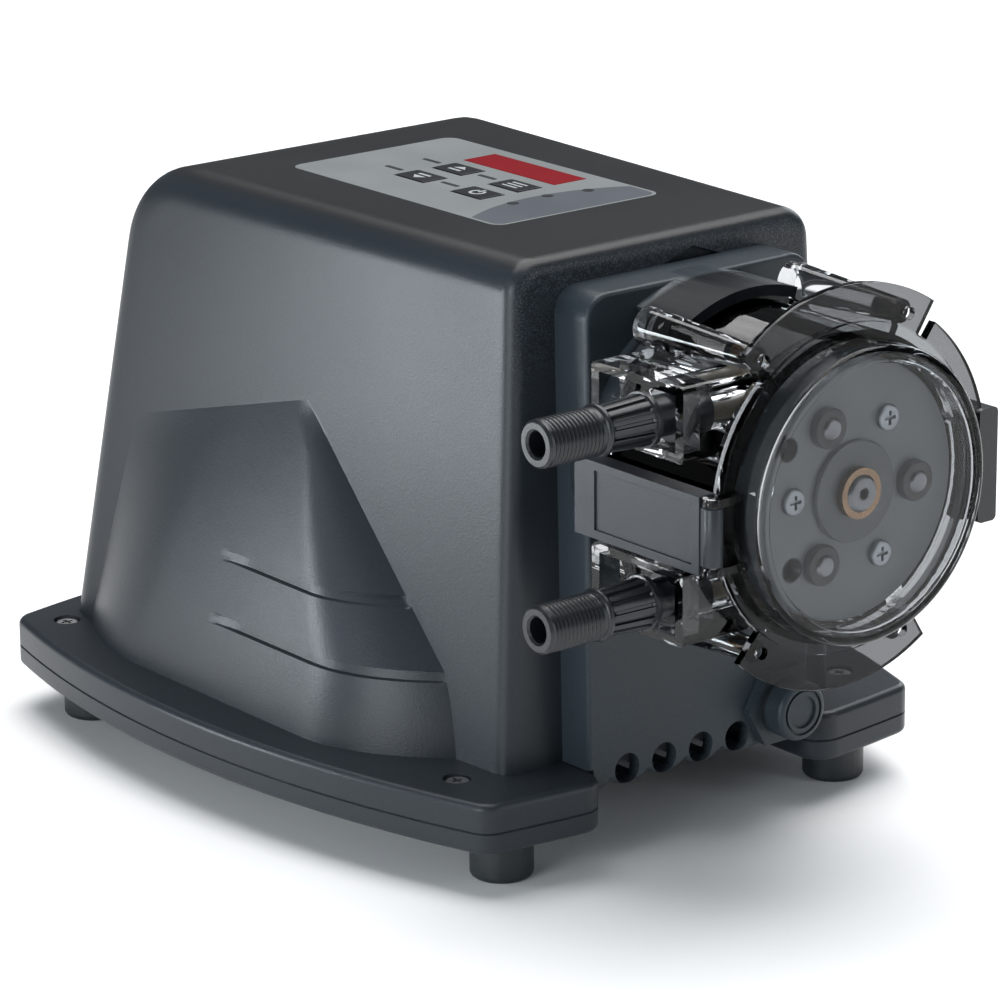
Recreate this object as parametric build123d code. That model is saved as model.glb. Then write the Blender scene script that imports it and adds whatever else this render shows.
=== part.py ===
from build123d import *
import math
import os

# Peristaltic metering pump, millimetres.  +X points at the pump head, -Y at the
# operator's side with the tube ports, +Z up.  The origin lies under the middle of
# the outline, on the plane that the four feet stand on.

# ---------------------------------------------------------------- driving dimensions
HALF_LENGTH = 144.0        # half the overall length along X
TOP_Z = 166.0              # height of the housing's top face
WALL = 3.0                 # moulded wall
FLANGE_BOTTOM = 12.8       # underside of the base, which is also the foot height
SEAM_Z = 18.75             # split between base plate and housing
FLANGE_TOP = 27.0

FLANGE_FRONT_HALF = 76.0   # half width of the flange at its front corners
FLANGE_MID_HALF = 96.3     # half width at the crown of the bowed sides
FLANGE_BACK_HALF = 84.0
FLANGE_FRONT_X = 79.0
FLANGE_FRONT_BOW = 6.0
FLANGE_BACK_X = -134.0
FLANGE_CORNER = 7.0
BAY_HALF = 37.3            # half width of the bay between the two front lugs
BAY_X = 60.0
BASE_BAY_X = 54.6
LUG_CORNER = 7.5

FRONT_BOTTOM_X = 65.3      # front wall where it meets the flange
FRONT_TOP_X = 62.3
BACK_BOTTOM_X = -130.0
BACK_TOP_X = -106.0
HALF_FRONT_BOTTOM = 58.5   # half width of the housing at the front wall
HALF_FRONT_TOP = 52.0
HALF_BACK_BOTTOM = 68.5
HALF_BACK_TOP = 58.5
BACK_TOP_RADIUS = 27.0
SIDE_TOP_RADIUS = 9.0
FRONT_EDGE_RADIUS = 4.5

ARCH_OUT_Y = 81.5          # half width over the side arches, at the flange
ARCH_GROOVE_DEPTH = 1.2
ARCH_GROOVE_HEIGHT = 3.0
ARCH_GROOVE_ZS = (64.5, 47.0)
ARCH_GROOVE_START_X = -43.0

FOOT_RADIUS = 8.65
FOOT_CENTRES = ((65.0, 60.0), (-112.0, 72.0))
FLANGE_SCREW_CENTRES = ((57.0, 68.5), (-121.0, 74.5))

AXIS_Z = 112.0             # height of the pump head's axis, on y = 0
PORT_OFFSET = 24.3         # each port above or below the axis
PORT_X = 115.0
PORT_TIP_Y = -88.0
THREAD_RADIUS = 6.35       # half-inch thread
PORT_BORE = 3.4

PANEL_X = 76.0             # face of the front panel
PANEL_HALF = 39.0
BRACKET_X = 84.0           # back of the head bracket
HEAD_X = 88.0              # back of the tube housing
HEAD_FRONT_X = 131.0
TRACK_RADIUS = 37.4
HEAD_RADIUS = 41.5

CONNECTOR_Y = 28.5         # signal socket below the head
CONNECTOR_Z = 31.5
CONNECTOR_FACE_X = 78.5    # face of the six-sided boss around the socket

SHAFT_RADIUS = 5.0
RUNNING = 0.05             # radial clearance of a running fit
ROLLER_ORBIT = 21.0
ROLLER_RADIUS = 8.0
ROLLER_PIN_RADIUS = 3.0
ROLLER_ANGLES = (117.0, -3.0, -123.0)
POST_ANGLES = (57.0, 177.0, -63.0)
PLATE_RADIUS = 32.0
TUBE_ROUTE_RADIUS = 33.4
TUBE_RADIUS = 3.75
TUBE_BORE = 2.4

GEAR_MODULE = 0.8
BIG_TEETH = 48
SMALL_TEETH = 16
GEAR_CENTRES = GEAR_MODULE * (BIG_TEETH + SMALL_TEETH) / 2
IDLER_Z = AXIS_Z - GEAR_CENTRES
GEARBOX_X = 24.0
MOTOR_SHAFT_RADIUS = 2.5
MOTOR_RADIUS = 26.0
MOTOR_BACK_X = -44.0

LABEL_BOX = (-67.5, 26.5, -29.0, 29.0)
LABEL_Z = 165.6
LABEL_TOP = 166.1
WINDOW_BOX = (-41.5, -0.5, 12.8, 24.6)
KEY_SIZE = (13.0, 8.4)
KEY_TOP = 166.35
KEY_BOTTOM = 164.6
KEY_GAP = 0.35
KEYS = {
    "key_up": (-33.0, 4.6),
    "key_down": (-33.0, -8.8),
    "key_mode": (-7.0, 4.0),
    "key_power": (-7.0, -9.2),
}
LED_CENTRES = ((10.4, 16.0), (8.2, 3.3), (8.8, -9.4))
BOARD_Z = 149.6
BOARD_POSTS = ((-58.0, -27.0), (-58.0, 27.0), (20.0, -27.0), (20.0, 27.0))
POWER_BOARD_Z = 24.0
POWER_POSTS = ((-104.0, -40.0), (-104.0, 40.0), (20.0, -40.0), (20.0, 40.0))

ARM_END_X = 133.1          # front end of the bracket's arm on the port side
HINGE_X = 135.2            # pin of the head cover
HINGE_Y = -47.2


# ---------------------------------------------------------------- helpers
def box(x0, x1, y0, y1, z0, z1):
    size = Box(x1 - x0, y1 - y0, z1 - z0)
    return Pos((x0 + x1) / 2, (y0 + y1) / 2, (z0 + z1) / 2) * size


def rod_x(radius, x0, x1, y=0.0, z=AXIS_Z):
    return Pos((x0 + x1) / 2, y, z) * Rot(0, 90, 0) * Cylinder(radius, x1 - x0)


def rod_y(radius, y0, y1, x, z):
    return Pos(x, (y0 + y1) / 2, z) * Rot(90, 0, 0) * Cylinder(radius, y1 - y0)


def rod_z(radius, z0, z1, x, y):
    return Pos(x, y, (z0 + z1) / 2) * Cylinder(radius, z1 - z0)


def tube_x(outer, inner, x0, x1, y=0.0, z=AXIS_Z):
    return rod_x(outer, x0, x1, y, z) - rod_x(inner, x0 - 1, x1 + 1, y, z)


def cone_x(radius0, radius1, x0, x1, y=0.0, z=AXIS_Z):
    return Pos((x0 + x1) / 2, y, z) * Rot(0, 90, 0) * Cone(radius0, radius1, x1 - x0)


def polar(radius, angle):
    """Y and Z of a point about the head axis; angle runs from +Y towards +Z."""
    turn = math.radians(angle)
    return radius * math.cos(turn), AXIS_Z + radius * math.sin(turn)


def sector_x(outer, inner, x0, x1, start, end):
    """Part of a ring about the head axis, between two angles."""
    turns = [start + (end - start) * i / 6 for i in range(7)]
    reach = 2 * outer
    corners = [(0.0, AXIS_Z)] + [polar(reach, turn) for turn in turns]
    wedge = face_yz(corners, x0, x1)
    return (rod_x(outer, x0, x1) - rod_x(inner, x0 - 1, x1 + 1)) & wedge


def face_yz(corners, x0, x1):
    """Prism along X over a polygon given as (y, z) corners."""
    outline = Polyline([(x0, y, z) for y, z in corners], close=True)
    return extrude(make_face(outline), amount=x1 - x0, dir=(1, 0, 0))


def mirror_y(shape):
    return mirror(shape, about=Plane.XZ)


def group(shapes):
    solids = [solid for shape in shapes for solid in shape.solids()]
    return Compound(children=solids)


def save(name, shape):
    export_step(shape, f"parts/{name}.step")


def lerp(a, b, t):
    return a + (b - a) * t


# ---------------------------------------------------------------- housing outline
def flange_outline():
    """Barrel-shaped plan of the base: four bowed sides with rounded corners."""
    front = (FLANGE_FRONT_X, FLANGE_FRONT_HALF)
    back = (FLANGE_BACK_X, FLANGE_BACK_HALF)
    crown = (-25.0, FLANGE_MID_HALF)
    with BuildSketch() as plan:
        with BuildLine():
            ThreePointArc((front[0], -front[1]), (FLANGE_FRONT_X + FLANGE_FRONT_BOW, 0), front)
            ThreePointArc(front, crown, back)
            ThreePointArc(back, (-HALF_LENGTH, 0), (back[0], -back[1]))
            ThreePointArc((back[0], -back[1]), (crown[0], -crown[1]), (front[0], -front[1]))
        make_face()
        fillet(plan.vertices(), radius=FLANGE_CORNER)
    return plan.sketch


def flange_plan(bay_x):
    """Plan of the base with the bay between its two front lugs."""
    with BuildSketch() as plan:
        add(flange_outline())
        with Locations(((bay_x + HALF_LENGTH) / 2, 0)):
            Rectangle(HALF_LENGTH - bay_x, 2 * BAY_HALF, mode=Mode.SUBTRACT)
        lug_ends = plan.vertices().filter_by_position(Axis.X, FLANGE_FRONT_X, HALF_LENGTH)
        fillet(lug_ends.filter_by_position(Axis.Y, -BAY_HALF - 1, BAY_HALF + 1), radius=LUG_CORNER)
    return plan.sketch


def height_share(z):
    return (z - FLANGE_TOP) / (TOP_Z - FLANGE_TOP)


def front_x(z):
    return lerp(FRONT_BOTTOM_X, FRONT_TOP_X, height_share(z))


def half_width(x, z):
    """Half width of the tapered housing at a given station and height."""
    share = height_share(z)
    at_front = lerp(HALF_FRONT_BOTTOM, HALF_FRONT_TOP, share)
    at_back = lerp(HALF_BACK_BOTTOM, HALF_BACK_TOP, share)
    back = lerp(BACK_BOTTOM_X, BACK_TOP_X, share)
    return lerp(at_front, at_back, (front_x(z) - x) / (front_x(z) - back))


def body_section(z, inset):
    back = -HALF_LENGTH - 20
    front = front_x(z) - inset
    front_half = half_width(front, z) - inset
    back_half = half_width(back, z) - inset
    ring = [(front, -front_half, z), (front, front_half, z), (back, back_half, z), (back, -back_half, z)]
    return make_face(Polyline(ring, close=True))


def body_block(z0, z1, inset=0.0):
    """Tapered housing block, inset from the outer faces, with the big rear top radius."""
    block = loft([body_section(z0, inset), body_section(z1, inset)], ruled=True)
    slope = (BACK_TOP_X - BACK_BOTTOM_X) / (TOP_Z - FLANGE_TOP)
    low = z0 - 5
    corners = [
        (HALF_LENGTH, low),
        (HALF_LENGTH, z1),
        (BACK_BOTTOM_X + slope * (z1 - FLANGE_TOP) + inset, z1),
        (BACK_BOTTOM_X + slope * (low - FLANGE_TOP) + inset, low),
    ]
    with BuildSketch(Plane.XZ) as side:
        with BuildLine():
            Polyline(corners, close=True)
        make_face()
        rear = side.vertices().sort_by(Axis.X)[:2].sort_by(Axis.Z)[-1:]
        fillet(rear, radius=BACK_TOP_RADIUS - inset)
    profile = extrude(side.sketch, amount=HALF_LENGTH, both=True)
    return block & profile


def rounded_body():
    block = body_block(SEAM_Z, TOP_Z)
    chain = [
        edge
        for edge in block.edges()
        if abs(edge.center().Y) > HALF_FRONT_TOP - 10
        and edge.center().Z > SEAM_Z + 1
        and edge.center().X < FRONT_TOP_X - 5
    ]
    block = fillet(chain, radius=SIDE_TOP_RADIUS)
    front = block.faces().sort_by(Axis.X)[-1]
    rim = [edge for edge in front.edges() if edge.center().Z > SEAM_Z + 1]
    return fillet(rim, radius=FRONT_EDGE_RADIUS)


# ---------------------------------------------------------------- side arches
def arch_right(z):
    """Front edge of the arch on the side wall."""
    knee_z = 50.0
    slope = 0.957
    knee_x = -21.0 + (113.0 - knee_z) * slope
    if z > knee_z:
        return -21.0 + (113.0 - z) * slope
    share = (knee_z - z) / (knee_z - FLANGE_TOP)
    return knee_x + 9.0 * share - 3.3 * share * share


def arch_left(z):
    return -118.0 + 0.30 * (z - FLANGE_TOP)


def arch_top(x):
    return 93.0 + 0.26 * (x + 98.0)


def arch_depth(x, z):
    """How far the arch stands out of the side wall."""
    full = ARCH_OUT_Y - half_width(x, FLANGE_TOP)
    rise = max(z - FLANGE_TOP, 0.0) / (arch_top(x) - FLANGE_TOP)
    roof = max(1.0 - rise ** 1.3, 0.0)
    to_right = min((arch_right(z) - x) / (42.0 * max(roof, 0.2)), 1.0)
    to_left = min((x - arch_left(z)) / 42.0, 1.0)
    return full * roof * to_right * (2 - to_right) * to_left * (2 - to_left)


def arch_section(z, inset):
    """Plan section of the arch: a spline outside, closed inside the wall."""
    left = max(arch_left(z), (z - 93.0) / 0.26 - 98.0)
    right = arch_right(z)
    skin = 2.5
    steps = 6
    outer = []
    for i in range(steps + 1):
        share = (1 - math.cos(math.pi * i / steps)) / 2
        x = lerp(left, right, share)
        depth = max(arch_depth(x, z) - inset, 0.0)
        outer.append((x, -(half_width(x, z) - skin + depth), z))
    inner_y = -(half_width(right, z) - 8.0)
    curve = Spline(outer)
    sides = Polyline([outer[-1], (right, inner_y, z), (left, inner_y, z), outer[0]])
    return make_face(Wire([curve.edge()] + list(sides.edges())))


def arch_block(inset=0.0):
    heights = (SEAM_Z, FLANGE_TOP, 36.0, 46.0, 56.0, 66.0, 76.0, 86.0, 94.0, 102.0, 109.0)
    return loft([arch_section(z, inset) for z in heights], ruled=True)


def arch_grooves(arch, body):
    """Two level grooves in the front half of the arch."""
    inner = arch_block(ARCH_GROOVE_DEPTH)
    bands = []
    for z in ARCH_GROOVE_ZS:
        slab = box(ARCH_GROOVE_START_X, FRONT_BOTTOM_X, -ARCH_OUT_Y - 5, 0, z, z + ARCH_GROOVE_HEIGHT)
        bands.append(((arch & slab) - inner) - body)
    return bands


# ---------------------------------------------------------------- housing and base
def flange_screw_places():
    return [(x, side * y) for x, y in FLANGE_SCREW_CENTRES for side in (-1, 1)]


def foot_places():
    return [(x, side * y) for x, y in FOOT_CENTRES for side in (-1, 1)]


def key_pocket(place, z0, z1):
    x, y = place
    half_x = KEY_SIZE[0] / 2 + KEY_GAP
    half_y = KEY_SIZE[1] / 2 + KEY_GAP
    return box(x - half_x, x + half_x, y - half_y, y + half_y, z0, z1)


def housing_shell():
    body = rounded_body()
    arch = arch_block()
    shell = body + arch + mirror_y(arch)
    for band in arch_grooves(arch, body):
        shell = shell - band - mirror_y(band)
    flange = Pos(0, 0, SEAM_Z) * extrude(flange_plan(BAY_X), amount=FLANGE_TOP - SEAM_Z)
    rim = flange.faces().sort_by(Axis.Z)[-1].edges()
    shell = shell + fillet(rim, radius=2.0)
    shell = shell - body_block(SEAM_Z - 4, TOP_Z - WALL, WALL)
    shell = shell - rod_x(16.0, 50.0, 75.0)
    shell = shell - rod_x(4.6, 50.0, 75.0, CONNECTOR_Y, CONNECTOR_Z)
    shell = shell - slot_window()
    for x, y in flange_screw_places():
        shell = shell - rod_z(2.1, SEAM_Z - 1, FLANGE_TOP + 1, x, y)
        shell = shell - rod_z(4.0, FLANGE_TOP - 2.6, FLANGE_TOP + 1, x, y)
    for place in BOARD_POSTS:
        post = rod_z(3.5, BOARD_Z + 1.6, TOP_Z - WALL, *place)
        shell = shell + (post - rod_z(1.1, BOARD_Z, TOP_Z - WALL - 1, *place))
    shell = shell - label_blank(LABEL_Z, TOP_Z + 1)
    x0, x1, y0, y1 = WINDOW_BOX
    shell = shell - box(x0 + 1.5, x1 - 1.5, y0 + 1.5, y1 - 1.5, TOP_Z - WALL - 1, TOP_Z)
    shell = shell - box(x0, x1, y0, y1, LABEL_Z - 1.6, TOP_Z)
    for x, y in LED_CENTRES:
        shell = shell - rod_z(1.4, TOP_Z - WALL - 1, TOP_Z, x, y)
    for place in KEYS.values():
        shell = shell - key_pocket(place, KEY_BOTTOM - 0.7, TOP_Z)
        shell = shell - rod_z(1.9, TOP_Z - WALL - 1, TOP_Z, *place)
    return shell


def slot_window():
    """Shallow dark recess high on the front wall, above the hood."""
    corners = [(-3.0, 157.5), (9.0, 161.5), (20.0, 157.5), (17.0, 153.0)]
    return face_yz(corners, FRONT_TOP_X - 1.8, FRONT_TOP_X + 5)


def base_plate():
    plate = Pos(0, 0, FLANGE_BOTTOM) * extrude(flange_plan(BASE_BAY_X), amount=SEAM_Z - FLANGE_BOTTOM)
    lower_rim = plate.faces().sort_by(Axis.Z)[0].edges()
    plate = fillet(lower_rim, radius=1.5)
    floor_z = FLANGE_BOTTOM + 2.5
    well = body_block(SEAM_Z - 4, TOP_Z, WALL + 2.5) & box(-HALF_LENGTH, 52.0, -90, 90, floor_z, SEAM_Z + 1)
    plate = plate - well
    for x, y in foot_places():
        plate = plate + rod_z(6.0, FLANGE_BOTTOM, SEAM_Z - 0.5, x, y)
        plate = plate - rod_z(1.75, FLANGE_BOTTOM - 1, SEAM_Z - 1.5, x, y)
    for x, y in flange_screw_places():
        plate = plate - rod_z(1.75, FLANGE_BOTTOM + 1.2, SEAM_Z + 1, x, y)
    for x, y in POWER_POSTS:
        plate = plate + rod_z(4.0, floor_z, POWER_BOARD_Z, x, y)
        plate = plate - rod_z(1.1, floor_z + 1, POWER_BOARD_Z + 1, x, y)
    return plate - gasket_band()


def gasket_band():
    """Sealing cord in a groove around the well of the base."""
    outer = body_block(SEAM_Z - 4, TOP_Z, WALL - 1.0)
    inner = body_block(SEAM_Z - 4, TOP_Z, WALL + 1.0)
    level = box(-HALF_LENGTH, 54.0, -90, 90, SEAM_Z - 1.6, SEAM_Z)
    inner_level = box(-HALF_LENGTH, 52.0, -90, 90, SEAM_Z - 2, SEAM_Z + 1)
    return (outer & level) - (inner & inner_level)


def rubber_feet():
    feet = []
    for x, y in foot_places():
        foot = rod_z(FOOT_RADIUS, 0, FLANGE_BOTTOM, x, y)
        foot = fillet(foot.edges().sort_by(Axis.Z)[0], radius=1.6)
        foot = foot - rod_z(4.4, -1, 5.0, x, y)
        feet.append(foot - rod_z(1.9, 0, FLANGE_BOTTOM + 1, x, y))
    return group(feet)


def pan_screw(head_radius, head_height, shank_radius, length, drive=True):
    """Screw along +Z: head from 0 up, shank down; a cross recess in the head."""
    head = Pos(0, 0, head_height / 2) * Cylinder(head_radius, head_height)
    head = fillet(head.edges().sort_by(Axis.Z)[-1], radius=head_height * 0.4)
    screw = head + Pos(0, 0, -length / 2) * Cylinder(shank_radius, length)
    if drive:
        arm = head_radius * 1.1
        slot = head_radius * 0.26
        depth = head_height * 0.6
        cross = Box(arm, slot, depth) + Box(slot, arm, depth)
        screw = screw - Pos(0, 0, head_height - depth / 2) * cross
    return screw


def foot_screws():
    screw = Rot(180, 0, 0) * pan_screw(3.8, 2.2, 1.75, 12.0)
    return group([Pos(x, y, 5.0) * screw for x, y in foot_places()])


def flange_screws():
    screw = pan_screw(3.5, 2.0, 1.75, 10.2)
    return group([Pos(x, y, FLANGE_TOP - 2.6) * screw for x, y in flange_screw_places()])


# ---------------------------------------------------------------- keypad
def label_blank(z0, z1):
    x0, x1, y0, y1 = LABEL_BOX
    with BuildSketch(Plane.XY.offset(z0)) as sheet:
        with Locations(((x0 + x1) / 2, (y0 + y1) / 2)):
            RectangleRounded(x1 - x0, y1 - y0, 4.0)
    return extrude(sheet.sketch, amount=z1 - z0)


def keypad_label():
    label = label_blank(LABEL_Z, LABEL_TOP)
    label = label - window_block(0.0)
    for place in KEYS.values():
        label = label - key_pocket(place, LABEL_Z - 1, LABEL_TOP + 1)
    for x, y in LED_CENTRES:
        label = label - rod_z(1.4, LABEL_Z - 1, LABEL_TOP + 1, x, y)
    return label


def window_block(lift):
    x0, x1, y0, y1 = WINDOW_BOX
    return box(x0, x1, y0, y1, LABEL_Z - 1.6, LABEL_TOP + lift)


def display_window():
    lens = window_block(0.1)
    return chamfer(lens.edges().group_by(Axis.Z)[-1], length=0.25)


def led_indicators():
    lamps = []
    for x, y in LED_CENTRES:
        lamp = rod_z(1.4, BOARD_Z + 9.0, LABEL_TOP + 0.1, x, y)
        lamps.append(lamp + rod_z(2.0, BOARD_Z + 1.6, BOARD_Z + 9.0, x, y))
    return group(lamps)


def key_piece(place):
    """One key of the keypad with the stem that presses its switch."""
    x, y = place
    half_x, half_y = KEY_SIZE[0] / 2, KEY_SIZE[1] / 2
    cap = box(x - half_x, x + half_x, y - half_y, y + half_y, KEY_BOTTOM, KEY_TOP)
    cap = fillet(cap.edges().filter_by(Axis.Z), radius=1.0)
    cap = fillet(cap.faces().sort_by(Axis.Z)[-1].edges(), radius=0.3)
    return cap + rod_z(1.4, BOARD_Z + 6.9, KEY_BOTTOM, x, y)


def key_switches():
    switches = []
    for x, y in KEYS.values():
        case = box(x - 3, x + 3, y - 3, y + 3, BOARD_Z + 1.6, BOARD_Z + 5.1)
        switches.append(case + rod_z(1.7, BOARD_Z + 5.1, BOARD_Z + 6.3, x, y))
    return group(switches)


def control_board():
    board = box(-62.0, 24.0, -31.0, 31.0, BOARD_Z, BOARD_Z + 1.6)
    for place in BOARD_POSTS:
        board = board - rod_z(1.3, BOARD_Z - 1, BOARD_Z + 2, *place)
    return board


def board_screws():
    """Eight equal screws: four under the control board, four on the power board."""
    screw = pan_screw(2.4, 1.4, 1.1, 7.0)
    turned = Rot(180, 0, 0) * screw
    places = [Pos(x, y, BOARD_Z) * turned for x, y in BOARD_POSTS]
    places += [Pos(x, y, POWER_BOARD_Z + 1.6) * screw for x, y in POWER_POSTS]
    return group(places)


def display_module():
    x0, x1, y0, y1 = WINDOW_BOX
    case = box(x0 + 1.8, x1 - 1.8, y0 + 1.8, y1 - 1.8, BOARD_Z + 1.6, LABEL_Z - 1.8)
    return case


def control_chips():
    top = BOARD_Z
    chips = [box(-40, -26, -6, 6, top - 2.2, top), box(-12, 2, -20, -10, top - 1.6, top)]
    chips.append(rod_z(3.2, top - 8.0, top, 12.0, 20.0))
    chips.append(box(-56, -48, -8, 14, top - 7.0, top))
    return group(chips)


# ---------------------------------------------------------------- power board
def power_board():
    board = box(-110.0, 26.0, -46.0, 46.0, POWER_BOARD_Z, POWER_BOARD_Z + 1.6)
    for x, y in POWER_POSTS:
        board = board - rod_z(1.3, POWER_BOARD_Z - 1, POWER_BOARD_Z + 2, x, y)
    return board


def transformer():
    z0 = POWER_BOARD_Z + 1.6
    core = box(-98, -56, -32, 4, z0, z0 + 34)
    core = fillet(core.edges().filter_by(Axis.Z), radius=1.5)
    return core + box(-92, -62, -36, 8, z0 + 6, z0 + 28)


def power_capacitors():
    z0 = POWER_BOARD_Z + 1.6
    cans = []
    for x, y, radius, height in ((-34, -24, 8.0, 26.0), (-14, -24, 8.0, 26.0), (-40, 26, 5.0, 14.0)):
        can = rod_z(radius, z0, z0 + height, x, y)
        cans.append(fillet(can.edges().sort_by(Axis.Z)[-1], radius=1.0))
    return group(cans)


def power_components():
    z0 = POWER_BOARD_Z + 1.6
    relay = box(-20, 0, 12, 28, z0, z0 + 15)
    sink = box(4, 18, -30, -26, z0, z0 + 28)
    fuse = rod_x(3.0, -84, -62, 22, z0 + 3.0)
    return group([relay, sink, fuse])


# ---------------------------------------------------------------- motor and gears
def motor_can():
    can = rod_x(MOTOR_RADIUS, MOTOR_BACK_X + 4, GEARBOX_X)
    can = can - rod_x(MOTOR_RADIUS - 1.6, MOTOR_BACK_X, GEARBOX_X - 3)
    return can - rod_x(5.0, GEARBOX_X - 4, GEARBOX_X + 1)


def motor_endcap():
    cap = rod_x(MOTOR_RADIUS, MOTOR_BACK_X, MOTOR_BACK_X + 4)
    cap = fillet(cap.edges().sort_by(Axis.X)[0], radius=1.5)
    cap = cap + rod_x(8.0, MOTOR_BACK_X - 3, MOTOR_BACK_X)
    cap = cap - rod_x(5.0, MOTOR_BACK_X - 4, MOTOR_BACK_X + 5)
    for angle in range(0, 360, 45):
        y, z = polar(16.0, angle)
        cap = cap - rod_x(3.0, MOTOR_BACK_X - 1, MOTOR_BACK_X + 5, y, z)
    return cap


def motor_stator():
    return tube_x(MOTOR_RADIUS - 1.6, 18.5, MOTOR_BACK_X + 14, GEARBOX_X - 12)


def motor_bushes():
    bore = MOTOR_SHAFT_RADIUS + RUNNING
    rear = tube_x(5.0, bore, MOTOR_BACK_X - 3, MOTOR_BACK_X + 4)
    front = tube_x(5.0, bore, GEARBOX_X - 3, GEARBOX_X + 3)
    return group([rear, front])


def motor_shaft():
    return rod_x(MOTOR_SHAFT_RADIUS, MOTOR_BACK_X - 12, GEARBOX_X + 12)


def motor_core():
    return tube_x(17.8, MOTOR_SHAFT_RADIUS, MOTOR_BACK_X + 16, GEARBOX_X - 14)


def motor_fan():
    hub = tube_x(6.0, MOTOR_SHAFT_RADIUS, MOTOR_BACK_X - 12, MOTOR_BACK_X - 4)
    blades = []
    for i in range(7):
        blade = box(MOTOR_BACK_X - 11, MOTOR_BACK_X - 5, 5.0, 22.0, AXIS_Z - 0.7, AXIS_Z + 0.7)
        blades.append(blade.rotate(Axis((0, 0, AXIS_Z), (1, 0, 0)), i * 360 / 7))
    for blade in blades:
        hub = hub + blade
    return hub


def involute_gear(teeth, bore, x0, x1, z, turn):
    """Spur gear about X; a tooth points at the angle turn, measured from +Y to +Z."""
    pitch = GEAR_MODULE * teeth / 2
    base = pitch * math.cos(math.radians(20))
    tip = pitch + 0.95 * GEAR_MODULE
    root = pitch - 1.25 * GEAR_MODULE
    backlash = 0.09
    half_pitch_angle = math.pi / (2 * teeth) - backlash / (2 * pitch)
    pitch_roll = math.sqrt((pitch / base) ** 2 - 1)
    pitch_spread = pitch_roll - math.atan(pitch_roll)
    start = max(base, root + 0.05)
    flank = []
    for i in range(4):
        radius = lerp(start, tip, i / 3)
        roll = math.sqrt(max((radius / base) ** 2 - 1, 0.0))
        spread = roll - math.atan(roll)
        flank.append((radius, half_pitch_angle + pitch_spread - spread))
    half = [(root, flank[0][1] + 0.01)] + flank
    outline = []
    for tooth in range(teeth):
        middle = math.radians(turn) + 2 * math.pi * tooth / teeth
        sides = [(radius, middle - angle) for radius, angle in half]
        sides += [(radius, middle + angle) for radius, angle in reversed(half)]
        outline += [(radius * math.cos(a), z + radius * math.sin(a)) for radius, a in sides]
    return face_yz(outline, x0, x1) - rod_x(bore, x0 - 1, x1 + 1, 0, z)


def drive_pinion():
    gap_turn = -90.0 + 180.0 / SMALL_TEETH
    return involute_gear(SMALL_TEETH, MOTOR_SHAFT_RADIUS, GEARBOX_X + 5, GEARBOX_X + 12, AXIS_Z, gap_turn)


def idler_gear():
    bore = MOTOR_SHAFT_RADIUS + RUNNING
    large = involute_gear(BIG_TEETH, bore, GEARBOX_X + 5.5, GEARBOX_X + 11.5, IDLER_Z, 90.0)
    gap_turn = 90.0 + 180.0 / SMALL_TEETH
    small = involute_gear(SMALL_TEETH, bore, GEARBOX_X + 13, GEARBOX_X + 26, IDLER_Z, gap_turn)
    collar = tube_x(4.6, bore, GEARBOX_X + 11, GEARBOX_X + 13.5, 0, IDLER_Z)
    return large + collar + small


def idler_pin():
    return rod_x(MOTOR_SHAFT_RADIUS, GEARBOX_X, GEARBOX_X + 33, 0, IDLER_Z)


def output_gear():
    return involute_gear(BIG_TEETH, SHAFT_RADIUS, GEARBOX_X + 16, GEARBOX_X + 26, AXIS_Z, -90.0)


GEARBOX_HALF = 24.0
GEARBOX_LOW = 62.0
GEARBOX_HIGH = 137.0


def gearbox_screw_places():
    inset = 4.0
    return [
        (side * (GEARBOX_HALF - inset), z)
        for side in (-1, 1)
        for z in (GEARBOX_LOW + inset, GEARBOX_HIGH - inset)
    ]


def gearbox_case():
    case = box(GEARBOX_X, GEARBOX_X + 30, -GEARBOX_HALF, GEARBOX_HALF, GEARBOX_LOW, GEARBOX_HIGH)
    inside = box(GEARBOX_X + 3, GEARBOX_X + 31, -21.5, 21.5, GEARBOX_LOW + 2.5, GEARBOX_HIGH - 2.5)
    case = fillet(case.edges().filter_by(Axis.X), radius=3.0) - inside
    for y, z in gearbox_screw_places():
        case = case + rod_x(3.6, GEARBOX_X, GEARBOX_X + 30, y, z)
        case = case - rod_x(1.4, GEARBOX_X + 8, GEARBOX_X + 31, y, z)
    case = case - rod_x(5.0, GEARBOX_X - 1, GEARBOX_X + 4)
    return case - rod_x(MOTOR_SHAFT_RADIUS, GEARBOX_X - 1, GEARBOX_X + 4, 0, IDLER_Z)


def gearbox_cover():
    face_x = GEARBOX_X + 30
    cover = box(face_x, face_x + 3, -GEARBOX_HALF, GEARBOX_HALF, GEARBOX_LOW, GEARBOX_HIGH)
    cover = fillet(cover.edges().filter_by(Axis.X), radius=3.0)
    cover = cover + rod_x(14.0, face_x, GEARBOX_X + 42)
    cover = cover - rod_x(11.0, GEARBOX_X + 34, GEARBOX_X + 43)
    cover = cover - rod_x(6.5, face_x - 1, GEARBOX_X + 35)
    for y, z in gearbox_screw_places():
        cover = cover - rod_x(1.7, face_x - 1, face_x + 4, y, z)
    return cover - rod_x(MOTOR_SHAFT_RADIUS, face_x - 1, face_x + 4, 0, IDLER_Z)


def gearbox_screws():
    screw = Rot(0, 90, 0) * pan_screw(2.8, 1.2, 1.4, 12.0)
    return group([Pos(GEARBOX_X + 33, y, z) * screw for y, z in gearbox_screw_places()])


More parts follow.
